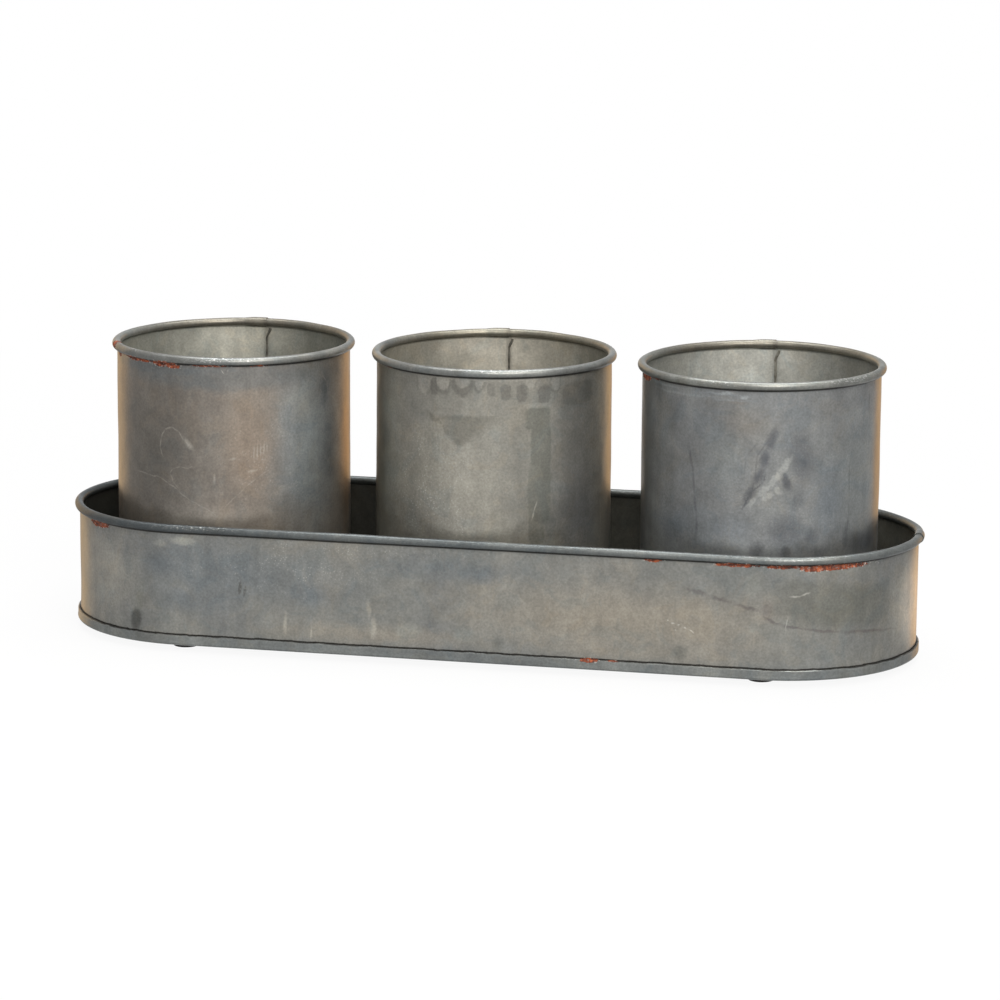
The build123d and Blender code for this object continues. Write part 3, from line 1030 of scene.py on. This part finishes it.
            layer("#b3afa4", (-85.3, 17, 1.3, 8, 0.75), (-72.4, 13.5, 0.7, 4.5, 0.75),
                  (-43, 17, 2.2, 8.5, 0.85), (-45, 26, 1.6, 7, 0.5), outline="bent", edge=0.9),
            layer("#72726b", (170, 38, 30, 13, 0.66, 8), shape="square", edge=0.8),
            layer("#716c6a", *scratch(0.7, 1.6, (104.1, 44.6), (115, 41.1), (125.9, 39), (139.5, 35)),
                  *scratch(0.8, 1.2, (139.6, 32.9), (148, 29.6), (158.1, 27.7), (175, 25.4), (194.7, 22.6)),
                  (141.5, 36.4, 4.5, 7, 0.55), edge=0.9),
            layer("#70726d", (16.6, 13.2, 4, 4.6, 0.55), (102, 14.2, 6, 5, 0.55), edge=0.8),
            layer("#d0cdc4", *scratch(0.5, 0.7, (152, 43), (157, 43.8), (161, 45)),
                  *scratch(0.3, 0.4, (151, 25), (151.6, 33)), (98.5, 28, 1.3, 0.6, 0.8),
                  (101.2, 27.4, 0.6, 0.5, 0.8), (96, 29.4, 0.7, 0.4, 0.7), (104.2, 26, 0.8, 0.5, 0.8, 20),
                  (107, 24.6, 2.2, 0.5, 0.7, 32), (100, 24.8, 0.5, 0.4, 0.7), outline="bent", edge=0.9),
        ),
        "specks": ((-86, 42, 84, 20, 0.6), (-60, 53, 90, 4, 0.8)),
        "worn": ((-128, 60.4, 30, 1.4, 0.5), (20, 60.4, 120, 1.0, 0.16), (150, 60.4, 44, 1.2, 0.4)),
        "rust": ((-180, 56, 9, 2.4, 1.0), (128, 56.6, 16, 1.5, 0.85), (150, 56.6, 14, 1.4, 0.9),
                 (170, 56, 22, 2.0, 1.0), (164, 55.6, 12, 1.9, 1.0), (89, 56.6, 6, 1.0, 0.9),
                 (60, 8.2, 6, 1.5, 1.0), (71, 8.4, 4, 0.6, 0.7)),
    },
}

# Ways in which the outline of a mark wanders: size of a bend, and how far it strays
OUTLINES = {
    "ragged": (7 * MM, 4.5 * MM),      # stains, and placed painted light, shade and reflections
    "torn": (3 * MM, 3.2 * MM),        # drips
    "flaked": (3 * MM, 2 * MM),        # rust
    "bent": (26 * MM, 6 * MM),         # lines
}


class ZincSheet:
    """What the coats of one vessel's zinc share: its coordinates, outlines, patterns and regions."""

    def __init__(self, tree, object_space, vessel):
        self.tree = tree
        self.object_space = object_space
        self.vessel = vessel
        self.look = LOOKS[vessel.name]
        centred = add_node(tree, "ShaderNodeMapping",
                           {"Vector": object_space, "Location": (-vessel.middle_x, 0.0, 0.0)})
        self.axes = add_node(tree, "ShaderNodeSeparateXYZ", {"Vector": centred}).outputs
        self.forward = add_node(tree, "ShaderNodeMath", (self.axes["Y"], -1.0), operation="MULTIPLY")
        self.front = add_node(tree, "ShaderNodeMapRange", (self.forward, -30 * MM, 0.0))
        self.flat = self.laid_flat()
        self.outlines = self.wandering_outlines()
        self.patterns = self.noise_patterns()
        self.regions = self.sheet_regions()
        self.outside = add_node(tree, "ShaderNodeMath", (1.0, self.regions["inside"]), operation="SUBTRACT")

    def laid_flat(self):
        """Place on the sheet: along it from the middle of the front, and up from the table."""
        along = self.axes["X"]
        if self.vessel.is_round:
            turn = add_node(self.tree, "ShaderNodeMath", (along, self.forward), operation="ARCTAN2")
            along = add_node(self.tree, "ShaderNodeMath", (turn, self.vessel.radius), operation="MULTIPLY")
        return add_node(self.tree, "ShaderNodeCombineXYZ", {"X": along, "Z": self.axes["Z"]})

    def wandering_outlines(self):
        """The flat place, strayed in each of the ways in which outlines wander."""
        outlines = {}
        for name, (size, reach) in OUTLINES.items():
            drift = add_node(self.tree, "ShaderNodeTexNoise", {
                "Vector": self.object_space, "Scale": 1 / size, "Detail": 5.0, "Roughness": 0.6})
            stray = add_node(self.tree, "ShaderNodeVectorMath", (
                drift.outputs["Color"], (reach, 0.0, reach), (-reach / 2, 0.0, -reach / 2)),
                operation="MULTIPLY_ADD")
            outlines[name] = add_node(self.tree, "ShaderNodeVectorMath", (self.flat, stray), operation="ADD")
        return outlines

    def noise_patterns(self):
        """Noise with features of a real size; grain, flakes and scuffs are drawn coarse enough to show."""
        space = self.object_space
        streaked = add_node(self.tree, "ShaderNodeMapping", {"Vector": space, "Scale": (1.0, 1.0, 0.07)})
        rubbed = add_node(self.tree, "ShaderNodeMapping", {"Vector": self.flat, "Scale": (0.5, 1.0, 1.2)})
        patterns = {}
        for name, place, size, detail, roughness, distortion in (
                ("clouds", space, 45 * MM, 5.0, 0.6, 0.6),
                ("films", space, 16 * MM, 7.0, 0.62, 0.8),
                ("waves", space, 14 * MM, 1.0, 0.5, 0.0),
                ("mottle", space, 9 * MM, 6.0, 0.62, 0.4),
                ("streaks", streaked, 5 * MM, 3.0, 0.5, 0.0),
                ("browns", space, 2.2 * MM, 4.0, 0.7, 0.0),
                ("grain", space, 1.0 * MM, 2.0, 0.5, 0.0),
                ("flakes", space, 0.8 * MM, 4.0, 0.7, 0.0),
                ("scuffs", rubbed, 0.7 * MM, 3.0, 0.6, 0.0)):
            patterns[name] = add_node(self.tree, "ShaderNodeTexNoise", {
                "Vector": place, "Scale": 1 / size, "Detail": detail, "Roughness": roughness,
                "Distortion": distortion})
        return patterns

    def sheet_regions(self):
        """How far a place belongs to the inside, the rim, the flux stain, the band, and parts of these."""
        tree = self.tree
        band_top = self.vessel.band_top
        regions = {}
        for name in ("inside", "rim", "flux"):
            regions[name] = add_node(tree, "ShaderNodeAttribute", attribute_name=name).outputs["Fac"]
        regions["band"] = add_node(tree, "ShaderNodeMapRange",
                                   (self.axes["Z"], band_top, band_top - 0.3 * MM, 0.0, 0.8))
        at_front = add_node(tree, "ShaderNodeMapRange", (self.forward, 0.0, 30 * MM))
        at_back = add_node(tree, "ShaderNodeMapRange", (self.forward, -8 * MM, -40 * MM))
        for part, whole, side in (("inside_front", "inside", at_front), ("rim_back", "rim", at_back)):
            regions[part] = add_node(tree, "ShaderNodeMath", (regions[whole], side), operation="MULTIPLY")
        return regions


# The coats of a vessel's zinc, one over the other: each is (way of mixing, mask, colour)

def stains_and_painted_light_coats(zinc):
    """Placed stains, drips and scratches, and placed painted light, shade and reflections; those of the tray
    stay on its front.
    """
    coats = []
    for colour, marks, outline, shape, edge in zinc.look["layers"]:
        mask = marked(zinc.tree, zinc.outlines[outline], marks, edge, shape)
        if not zinc.vessel.is_round:
            mask = add_node(zinc.tree, "ShaderNodeMath", (mask, zinc.front), operation="MULTIPLY")
        coats.append(("MIX", mask, paint(colour)))
    return coats


def grey_coats(zinc):
    """The inside, the rim and the folded band have greys of their own; the inside, and the tray's rim, turn
    paler towards one place, which is painted light.
    """
    tree = zinc.tree
    # Painted light: the inside, and the tray's rim, go over to their paler grey towards a lit place along the
    # row
    middle, reach = zinc.look["pale"]
    cloudy = add_node(tree, "ShaderNodeMapRange", (zinc.patterns["clouds"], *NOISE_SPAN))
    from_pale = add_node(tree, "ShaderNodeMath", (zinc.axes["X"], middle * MM), operation="SUBTRACT")
    pale_away = add_node(tree, "ShaderNodeMath", (from_pale,), operation="ABSOLUTE")
    pale = add_node(tree, "ShaderNodeMapRange", (pale_away, reach * MM, 3 * MM, -0.2, 0.8))
    cloudy_painted_light = add_node(tree, "ShaderNodeMath", (cloudy, 0.4, pale), operation="MULTIPLY_ADD")
    coats = []
    for name in ("band", "inside", "inside_front", "rim", "rim_back"):
        darker, paler = zinc.look[name]
        painted_lit = name == "inside" or (name == "rim" and not zinc.vessel.is_round)
        share = cloudy_painted_light if painted_lit else cloudy
        grey = add_node(tree, "ShaderNodeMix", {0: share, 6: paint(darker), 7: paint(paler)},
                        data_type="RGBA")
        coats.append(("MIX", zinc.regions[name], grey))
    return coats


def oxide_coats(zinc):
    """Mottling, rain streaks and grain, and films with clear edges: cool and darker, or warm and paler."""
    coats = []
    for name, low, high in (("mottle", 0.87, 1.13), ("streaks", 0.94, 1.06), ("grain", 0.88, 1.12)):
        shade = add_node(zinc.tree, "ShaderNodeMapRange", (zinc.patterns[name], *NOISE_SPAN, low, high))
        coats.append(("MULTIPLY", 1.0, shade))
    for start, full, tint in ((0.55, 0.59, (0.87, 0.92, 0.96)), (0.45, 0.41, (1.09, 1.05, 1.0))):
        film = add_node(zinc.tree, "ShaderNodeMapRange", (zinc.patterns["films"], start, full, 0.0, 0.6))
        coats.append(("MULTIPLY", film, opaque(tint)))
    return coats


def bloom_coats(zinc):
    """Pale specks of the crystal bloom, 0.4 mm dots thinned out by the mottling."""
    tree = zinc.tree
    dots = add_node(tree, "ShaderNodeTexVoronoi", {"Vector": zinc.object_space, "Scale": 1 / (1.3 * MM)})
    specks = add_node(tree, "ShaderNodeMapRange", (dots.outputs["Distance"], 0.32, 0.14))
    picked = add_node(tree, "ShaderNodeMapRange", (zinc.patterns["mottle"], 0.4, 0.62, 0.0, 0.9))
    area = marked(tree, zinc.outlines["ragged"], zinc.look["specks"], 0.9)
    for where in (picked, area, zinc.outside):
        specks = add_node(tree, "ShaderNodeMath", (specks, where), operation="MULTIPLY")
    return [("MIX", specks, paint("#c4c3bb"))]


def flux_and_shade_coats(zinc):
    """Painted shade as dark lines under the rolled rim and unevenly along the top of the band, and the flux
    stain beside the solder.
    """
    tree = zinc.tree
    vessel = zinc.vessel
    regions = zinc.regions
    inner = add_node(tree, "ShaderNodeMath", (regions["inside"], regions["rim"]), operation="MAXIMUM")
    flux_and_shade = add_node(tree, "ShaderNodeMath", (regions["flux"], inner), operation="MULTIPLY")
    uneven = add_node(tree, "ShaderNodeMath", (zinc.patterns["mottle"], 0.5), operation="SUBTRACT")
    # Painted shade: a dark line just under the rolled rim and an uneven one along the top of the band, where
    # the creases lie in shade
    for level, wobble, core, reach in (
            (vessel.bead[1] - vessel.bead_radius, 0.0, 0.35 * MM, 0.85 * MM),
            (vessel.band_top + 0.1 * MM, 1.6 * MM, 0.1 * MM, 0.6 * MM)):
        shifted = add_node(tree, "ShaderNodeMath", (uneven, wobble, zinc.axes["Z"]), operation="MULTIPLY_ADD")
        from_level = add_node(tree, "ShaderNodeMath", (shifted, level), operation="SUBTRACT")
        away = add_node(tree, "ShaderNodeMath", (from_level,), operation="ABSOLUTE")
        line = add_node(tree, "ShaderNodeMapRange", (away, core, reach, 0.92, 0.0),
                        interpolation_type="SMOOTHSTEP")
        shown = add_node(tree, "ShaderNodeMath", (line, zinc.outside), operation="MULTIPLY")
        flux_and_shade = add_node(tree, "ShaderNodeMath", (flux_and_shade, shown), operation="MAXIMUM")
    # 24221f is the near-black of the flux stain and of the painted shade
    return [("MIX", flux_and_shade, paint("#24221f"))]


def worn_coats(zinc):
    """Bright metal where rims rubbed: fine scratches along the rim, and only on the rim itself."""
    tree = zinc.tree
    scuff = add_node(tree, "ShaderNodeMapRange", (zinc.patterns["scuffs"], 0.53, 0.68))
    area = marked(tree, zinc.outlines["bent"], zinc.look["worn"], 0.8)
    worn = add_node(tree, "ShaderNodeMath", (area, 0.04), operation="MAXIMUM")
    for where in (zinc.regions["rim"], scuff):
        worn = add_node(tree, "ShaderNodeMath", (worn, where), operation="MULTIPLY")
    return [("MIX", worn, paint("#d8d9d6"))]


def rust_coats(zinc):
    """Ragged flakes of rust in three browns, edged with pale flecks of lifted coating.

    The first coat's mask is the rust itself.
    """
    tree = zinc.tree
    patterns = zinc.patterns
    area = marked(tree, zinc.outlines["flaked"], zinc.look["rust"], 0.6)
    for where in (zinc.outside,) if zinc.vessel.is_round else (zinc.outside, zinc.front):
        area = add_node(tree, "ShaderNodeMath", (area, where), operation="MULTIPLY")
    broken = add_node(tree, "ShaderNodeMath", (patterns["flakes"], patterns["browns"]), operation="ADD")
    torn = add_node(tree, "ShaderNodeMath", (broken, 1.4, area), operation="MULTIPLY_ADD")
    rust = add_node(tree, "ShaderNodeMapRange", (torn, 1.86, 2.0))
    browns = add_node(tree, "ShaderNodeValToRGB", (patterns["browns"],))
    browns.color_ramp.elements.new(0.5)
    for element, position, colour in zip(browns.color_ramp.elements, (0.36, 0.5, 0.64),
                                         ("#35180f", "#6f331d", "#a5542d")):
        element.position = position
        element.color = paint(colour)
    lifted = add_node(tree, "ShaderNodeMapRange", (patterns["grain"], 0.58, 0.66, 0.0, 0.7))
    near_rust = add_node(tree, "ShaderNodeMapRange", (area, 0.0, 0.3))
    off_middle = add_node(tree, "ShaderNodeMapRange", (area, 0.5, 0.9, 1.0, 0.3))
    around = add_node(tree, "ShaderNodeMath", (near_rust, off_middle), operation="MULTIPLY")
    flecks = add_node(tree, "ShaderNodeMath", (lifted, around), operation="MULTIPLY")
    return [("MIX", rust, browns), ("MIX", flecks, paint("#cfcdc6"))]


def weathered_zinc(vessel):
    """Zinc-coated steel sheet left to weather.

    A satin grey metal under a thin cloudy oxide: soft broad highlights, drifting warm and cool
    greys, pale specks and scratches, bright wear on the rims and rust where the coating broke.
    Some coats are painted light and shade: placed lit and shaded patches and reflections, dark
    lines of painted shade under the rim and along the band, and a painted lit place inside.
    """
    material, tree, object_space = new_material(f"weathered zinc {vessel.name}")
    zinc = ZincSheet(tree, object_space, vessel)
    patterns = zinc.patterns
    regions = zinc.regions

    # Clouds of oxide from the darker over the main to the paler tone of this vessel, then its coats
    darker, paler = zinc.look["tones"]
    main_tone = opaque(getattr(bpy.context.scene.planter_colours, vessel.name))
    tone = add_node(tree, "ShaderNodeValToRGB", (patterns["clouds"],))
    tone.color_ramp.elements.new(0.5)
    for element, position, colour in zip(tone.color_ramp.elements, (0.28, 0.5, 0.72),
                                         (paint(darker), main_tone, paint(paler))):
        element.position = position
        element.color = colour
    rusty = rust_coats(zinc)
    rust = rusty[0][1]
    for coats in (stains_and_painted_light_coats(zinc), grey_coats(zinc), oxide_coats(zinc), bloom_coats(zinc),
                  flux_and_shade_coats(zinc), worn_coats(zinc), rusty):
        for way, mask, colour in coats:
            tone = add_node(tree, "ShaderNodeMix", {0: mask, 6: tone, 7: colour},
                            data_type="RGBA", blend_type=way)

    # The oxide is thicker and duller inside, and rust is no metal at all
    bare = add_node(tree, "ShaderNodeMath", (regions["inside"], -0.25, 0.68), operation="MULTIPLY_ADD")
    metal = add_node(tree, "ShaderNodeMath", (bare, rust), operation="SUBTRACT", use_clamp=True)
    dull = add_node(tree, "ShaderNodeMapRange", (patterns["mottle"], *NOISE_SPAN, 0.29, 0.38))
    for where, more in ((regions["inside"], 0.16), (regions["rim"], 0.08), (rust, 0.4)):
        dull = add_node(tree, "ShaderNodeMath", (where, more, dull), operation="MULTIPLY_ADD")

    # Relief: gentle waves, pitting at the grain's size, and raised rust
    relief = patterns["waves"]
    for where, height in ((patterns["grain"], 0.05), (rust, 0.25)):
        relief = add_node(tree, "ShaderNodeMath", (where, height, relief), operation="MULTIPLY_ADD")
    bump = add_node(tree, "ShaderNodeBump", {"Strength": 1.0, "Distance": 0.5 * MM, "Height": relief})
    close_material(tree, {"Base Color": tone, "Metallic": metal, "Roughness": dull, "Normal": bump})
    return material


def drawn_steel():
    """Drawn steel wire, unplated: mid grey, mottled with a little brown."""
    material, tree, object_space = new_material("drawn steel wire")
    stains = add_node(tree, "ShaderNodeTexNoise",
                      {"Vector": object_space, "Scale": 1 / (1.2 * MM), "Detail": 3.0})
    tone = add_node(tree, "ShaderNodeMix", {0: stains, 6: paint("#5a5148"), 7: paint("#8b8a87")},
                    data_type="RGBA")
    close_material(tree, {"Base Color": tone, "Metallic": 1.0, "Roughness": 0.42})
    return material


def dull_solder(vessel):
    """Tin and lead solder, wiped by hand: dull metal, paler on its lumps, with flux in its hollows."""
    material, tree, object_space = new_material(f"tin lead solder {vessel.name}")
    wipes = add_node(tree, "ShaderNodeTexNoise",
                     {"Vector": object_space, "Scale": 1 / (3 * MM), "Detail": 3.0})
    tone = add_node(tree, "ShaderNodeValToRGB", (wipes,))
    for element, position, colour in zip(tone.color_ramp.elements, (0.38, 0.62),
                                         LOOKS[vessel.name]["solder"]):
        element.position = position
        element.color = paint(colour)
    rough = add_node(tree, "ShaderNodeMapRange", (wipes, *NOISE_SPAN, 0.55, 0.35))
    bump = add_node(tree, "ShaderNodeBump", {"Strength": 0.6, "Distance": 0.2 * MM, "Height": wipes})
    close_material(tree, {"Base Color": tone, "Metallic": 0.9, "Roughness": rough, "Normal": bump})
    return material


def moulded_rubber():
    """Moulded dark rubber: nearly black, matt, with dust in its grain."""
    material, tree, object_space = new_material("moulded rubber")
    grain = add_node(tree, "ShaderNodeTexNoise",
                     {"Vector": object_space, "Scale": 1 / (0.8 * MM), "Detail": 3.0})
    dust = add_node(tree, "ShaderNodeMapRange", (grain, 0.5, 0.8, 0.0, 0.35))
    rubber = opaque(bpy.context.scene.planter_colours.rubber)
    tone = add_node(tree, "ShaderNodeMix", {0: dust, 6: rubber, 7: paint("#5c5650")}, data_type="RGBA")
    bump = add_node(tree, "ShaderNodeBump", {"Strength": 0.5, "Distance": 0.1 * MM, "Height": grain})
    close_material(tree, {"Base Color": tone, "Roughness": 0.72, "Normal": bump})
    return material


class PLANTER_OT_tray(bpy.types.Operator):
    """Build the tray's wall and floor sheets"""

    bl_idname = "planter.tray"
    bl_label = "Build Tray"

    def execute(self, context):
        build_sheets("tray", "tray_sheet")
        return {"FINISHED"}


class PLANTER_OT_pots(bpy.types.Operator):
    """Build the wall and floor sheets of the three pots"""

    bl_idname = "planter.pots"
    bl_label = "Build Pots"

    def execute(self, context):
        for name in POTS:
            build_sheets(name, "pot_sheet")
        return {"FINISHED"}


class PLANTER_OT_rim_wires(bpy.types.Operator):
    """Build the wires inside the rolled rims"""

    bl_idname = "planter.rim_wires"
    bl_label = "Build Rim Wires"

    def execute(self, context):
        steel = drawn_steel()
        for name in VESSELS:
            vessel = Vessel(name)
            mesh = sweep_sheet(vessel, vessel_round(vessel), wire_outline(vessel), steel)
            finished_piece(f"{name}_wire", mesh, name, "rim_wire", f"{name}_rim_wire")
        return {"FINISHED"}


class PLANTER_OT_solder(bpy.types.Operator):
    """Build the solder beads along the side seams"""

    bl_idname = "planter.solder"
    bl_label = "Build Solder"

    def execute(self, context):
        for name in VESSELS:
            build_solder(Vessel(name))
        return {"FINISHED"}


class PLANTER_OT_feet(bpy.types.Operator):
    """Build the four rubber feet"""

    bl_idname = "planter.feet"
    bl_label = "Build Feet"

    def execute(self, context):
        boxes = [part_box(name) for name in FEET]
        places = [((low.x + high.x) / 2, (low.y + high.y) / 2, low.z) for low, high in boxes]
        low, high = boxes[-1]
        foot = turned_foot((high.x - low.x) / 2, high.z - low.z)
        points = edge_mesh("foot places", places, False)
        mesh = run_tree(points, named_tree("rubber feet", feet_tree),
                        {"Foot": foot, "Material": moulded_rubber()}, [foot])
        finished_piece("rubber_feet", mesh, "tray", "foot_rubber", *FEET)
        return {"FINISHED"}


# The studio, in metres.  A side of the room is (direction, cosine of the angle from it at which the
# side begins, cosine at which it is full, light); the one without light is the white backdrop.
FLOOR_HALF = 9
FRAME_WIDTH = 36.0         # of the camera, in millimetres
WHITE = (1.0, 1.0, 1.0, 1.0)
FLOOR_GREY = (0.6, 0.6, 0.6, 1.0)
ROOM_GREY = (0.4, 0.4, 0.405, 1.0)
ROOM_SIDES = (
    ((0.0, 0.643, -0.766), 0.79, 0.88, WHITE),                          # floor behind
    ((0.258, 0.964, -0.07), 0.961, 0.978, (1.15, 0.72, 0.36, 1.0)),     # warm, at the right
    ((-0.703, 0.703, 0.105), 0.9, 0.935, (1.1, 0.78, 0.46, 1.0)),       # warm, at the left
    ((0.36, -0.93, 0.0), 0.3, 0.95, (0.75, 0.75, 0.75, 1.0)),           # front
    ((-0.21, 0.978, 0.0), 0.95, 0.975, None),
)


def area_lamp(name, place, target, size, power, colour):
    """Soft rectangular lamp aimed at a target."""
    lamp = bpy.data.lights.new(name, "AREA")
    lamp.shape = "RECTANGLE"
    lamp.size, lamp.size_y = size
    lamp.energy = power
    lamp.color = linear(colour)
    holder = linked_object(name, lamp)
    holder.location = place
    holder.rotation_euler = (Vector(target) - Vector(place)).to_track_quat("-Z", "Y").to_euler()
    holder.visible_camera = False


def studio_world():
    """White to the camera and, straight behind the object, in the metal; a soft grey room for the rest."""
    world = bpy.data.worlds.new("studio")
    tree = bare_tree(world)
    ray = add_node(tree, "ShaderNodeLightPath").outputs
    direction = add_node(tree, "ShaderNodeTexCoord").outputs["Generated"]
    room = ROOM_GREY
    for towards, edge, core, light in ROOM_SIDES:
        facing = add_node(tree, "ShaderNodeVectorMath", (direction, towards), operation="DOT_PRODUCT")
        side = add_node(tree, "ShaderNodeMapRange", (facing.outputs["Value"], edge, core),
                        interpolation_type="SMOOTHSTEP")
        if light:
            room = add_node(tree, "ShaderNodeMix", {0: side, 6: room, 7: light}, data_type="RGBA")
        else:
            backdrop = side
    mirrored = add_node(tree, "ShaderNodeMath", (ray["Is Glossy Ray"], backdrop), operation="MULTIPLY")
    through = add_node(tree, "ShaderNodeMath", (ray["Is Camera Ray"], ray["Is Transmission Ray"]),
                       operation="MAXIMUM")
    white = add_node(tree, "ShaderNodeMath", (through, mirrored), operation="MAXIMUM")
    seen = add_node(tree, "ShaderNodeMix", {0: white, 6: room, 7: WHITE}, data_type="RGBA")
    light = add_node(tree, "ShaderNodeBackground", {"Color": seen, "Strength": 1.0})
    add_node(tree, "ShaderNodeOutputWorld", {"Surface": light})
    bpy.context.scene.world = world


def pale_floor():
    """Matt grey floor that shows near white to the camera, with the object's shadow near the object."""
    material, tree, object_space = new_material("matt white floor")
    ray = add_node(tree, "ShaderNodeLightPath").outputs
    axes = add_node(tree, "ShaderNodeSeparateXYZ", {"Vector": object_space}).outputs
    matt = add_node(tree, "ShaderNodeBsdfDiffuse", {"Color": FLOOR_GREY})
    white = add_node(tree, "ShaderNodeEmission", {"Color": WHITE, "Strength": 1.0})
    pale = add_node(tree, "ShaderNodeMapRange", (axes["Y"], 0.15, 0.7, 0.92, 1.0),
                    interpolation_type="SMOOTHSTEP")
    share = add_node(tree, "ShaderNodeMath", (ray["Is Camera Ray"], pale), operation="MULTIPLY")
    both = add_node(tree, "ShaderNodeMixShader", (share, matt, white))
    add_node(tree, "ShaderNodeOutputMaterial", {"Surface": both})
    return material


def set_camera(stage):
    """Camera that looks at its target from a turn and a rise, rolled about its own axis."""
    turn = stage.azimuth
    rise = stage.elevation
    aside = Vector((math.cos(turn), math.sin(turn), 0))
    back = Vector((math.sin(turn) * math.cos(rise), -math.cos(turn) * math.cos(rise), math.sin(rise)))
    over = back.cross(aside)
    right = aside * math.cos(stage.roll) + over * math.sin(stage.roll)
    up = over * math.cos(stage.roll) - aside * math.sin(stage.roll)
    place = aside * stage.aside + Vector((0, 0, stage.height)) + back * stage.distance
    camera = bpy.data.cameras.new("camera")
    camera.sensor_width = FRAME_WIDTH
    camera.lens = stage.lens
    holder = linked_object("camera", camera)
    rows = [[right[axis], up[axis], back[axis], place[axis]] for axis in range(3)]
    holder.matrix_world = Matrix(rows + [[0, 0, 0, 1]])
    bpy.context.scene.camera = holder


class PLANTER_OT_stage(bpy.types.Operator):
    """Set the floor, the lights, the world and the camera"""

    bl_idname = "planter.stage"
    bl_label = "Set Stage"

    def execute(self, context):
        stage = context.scene.planter_stage
        mesh = bpy.data.meshes.new("floor")
        corners = [(x * FLOOR_HALF, y * FLOOR_HALF, 0) for x, y in ((-1, -1), (1, -1), (1, 1), (-1, 1))]
        mesh.from_pydata(corners, [], [(0, 1, 2, 3)])
        mesh.materials.append(pale_floor())
        floor = linked_object("floor", mesh)
        floor.visible_glossy = False
        area_lamp("key", place=(0.75, -1.55, 1.5), target=(0, 0, 0.08), size=(1.3, 0.9),
                  power=stage.key_power, colour="#fffaf3")
        area_lamp("overhead", place=(0, 0.2, 1.9), target=(0, 0, 0), size=(1.8, 1.2),
                  power=stage.top_power, colour="#ffffff")
        studio_world()
        context.scene.view_settings.view_transform = "Standard"
        set_camera(stage)
        return {"FINISHED"}


class PLANTER_PT_sidebar(bpy.types.Panel):
    """Steps and sizes of the planter"""

    bl_idname = "PLANTER_PT_sidebar"
    bl_label = "Herb Planter"
    bl_space_type = "VIEW_3D"
    bl_region_type = "UI"
    bl_category = "Planter"

    def draw(self, context):
        for operator in OPERATORS:
            self.layout.operator(operator.bl_idname)
        for name in PROPERTY_GROUPS:
            group = getattr(context.scene, name)
            for field in group.__annotations__:
                self.layout.prop(group, field)


PROPERTY_GROUPS = {
    "planter_sheet": PlanterSheet,
    "planter_solder": PlanterSolder,
    "planter_colours": PlanterColours,
    "planter_stage": PlanterStage,
}
OPERATORS = (PLANTER_OT_stage, PLANTER_OT_tray, PLANTER_OT_pots, PLANTER_OT_rim_wires,
             PLANTER_OT_solder, PLANTER_OT_feet)


def register():
    """Register the classes and hang the property groups on the scene."""
    for name, group in PROPERTY_GROUPS.items():
        bpy.utils.register_class(group)
        setattr(bpy.types.Scene, name, PointerProperty(type=group))
    for kind in OPERATORS + (PLANTER_PT_sidebar,):
        bpy.utils.register_class(kind)


def unregister():
    """Take everything off again."""
    for kind in (PLANTER_PT_sidebar,) + OPERATORS[::-1]:
        bpy.utils.unregister_class(kind)
    for name, group in PROPERTY_GROUPS.items():
        delattr(bpy.types.Scene, name)
        bpy.utils.unregister_class(group)


def main():
    """Build everything in order."""
    register()
    bpy.ops.planter.stage()
    bpy.ops.planter.tray()
    bpy.ops.planter.pots()
    bpy.ops.planter.rim_wires()
    bpy.ops.planter.solder()
    bpy.ops.planter.feet()


if __name__ == "__main__":
    main()
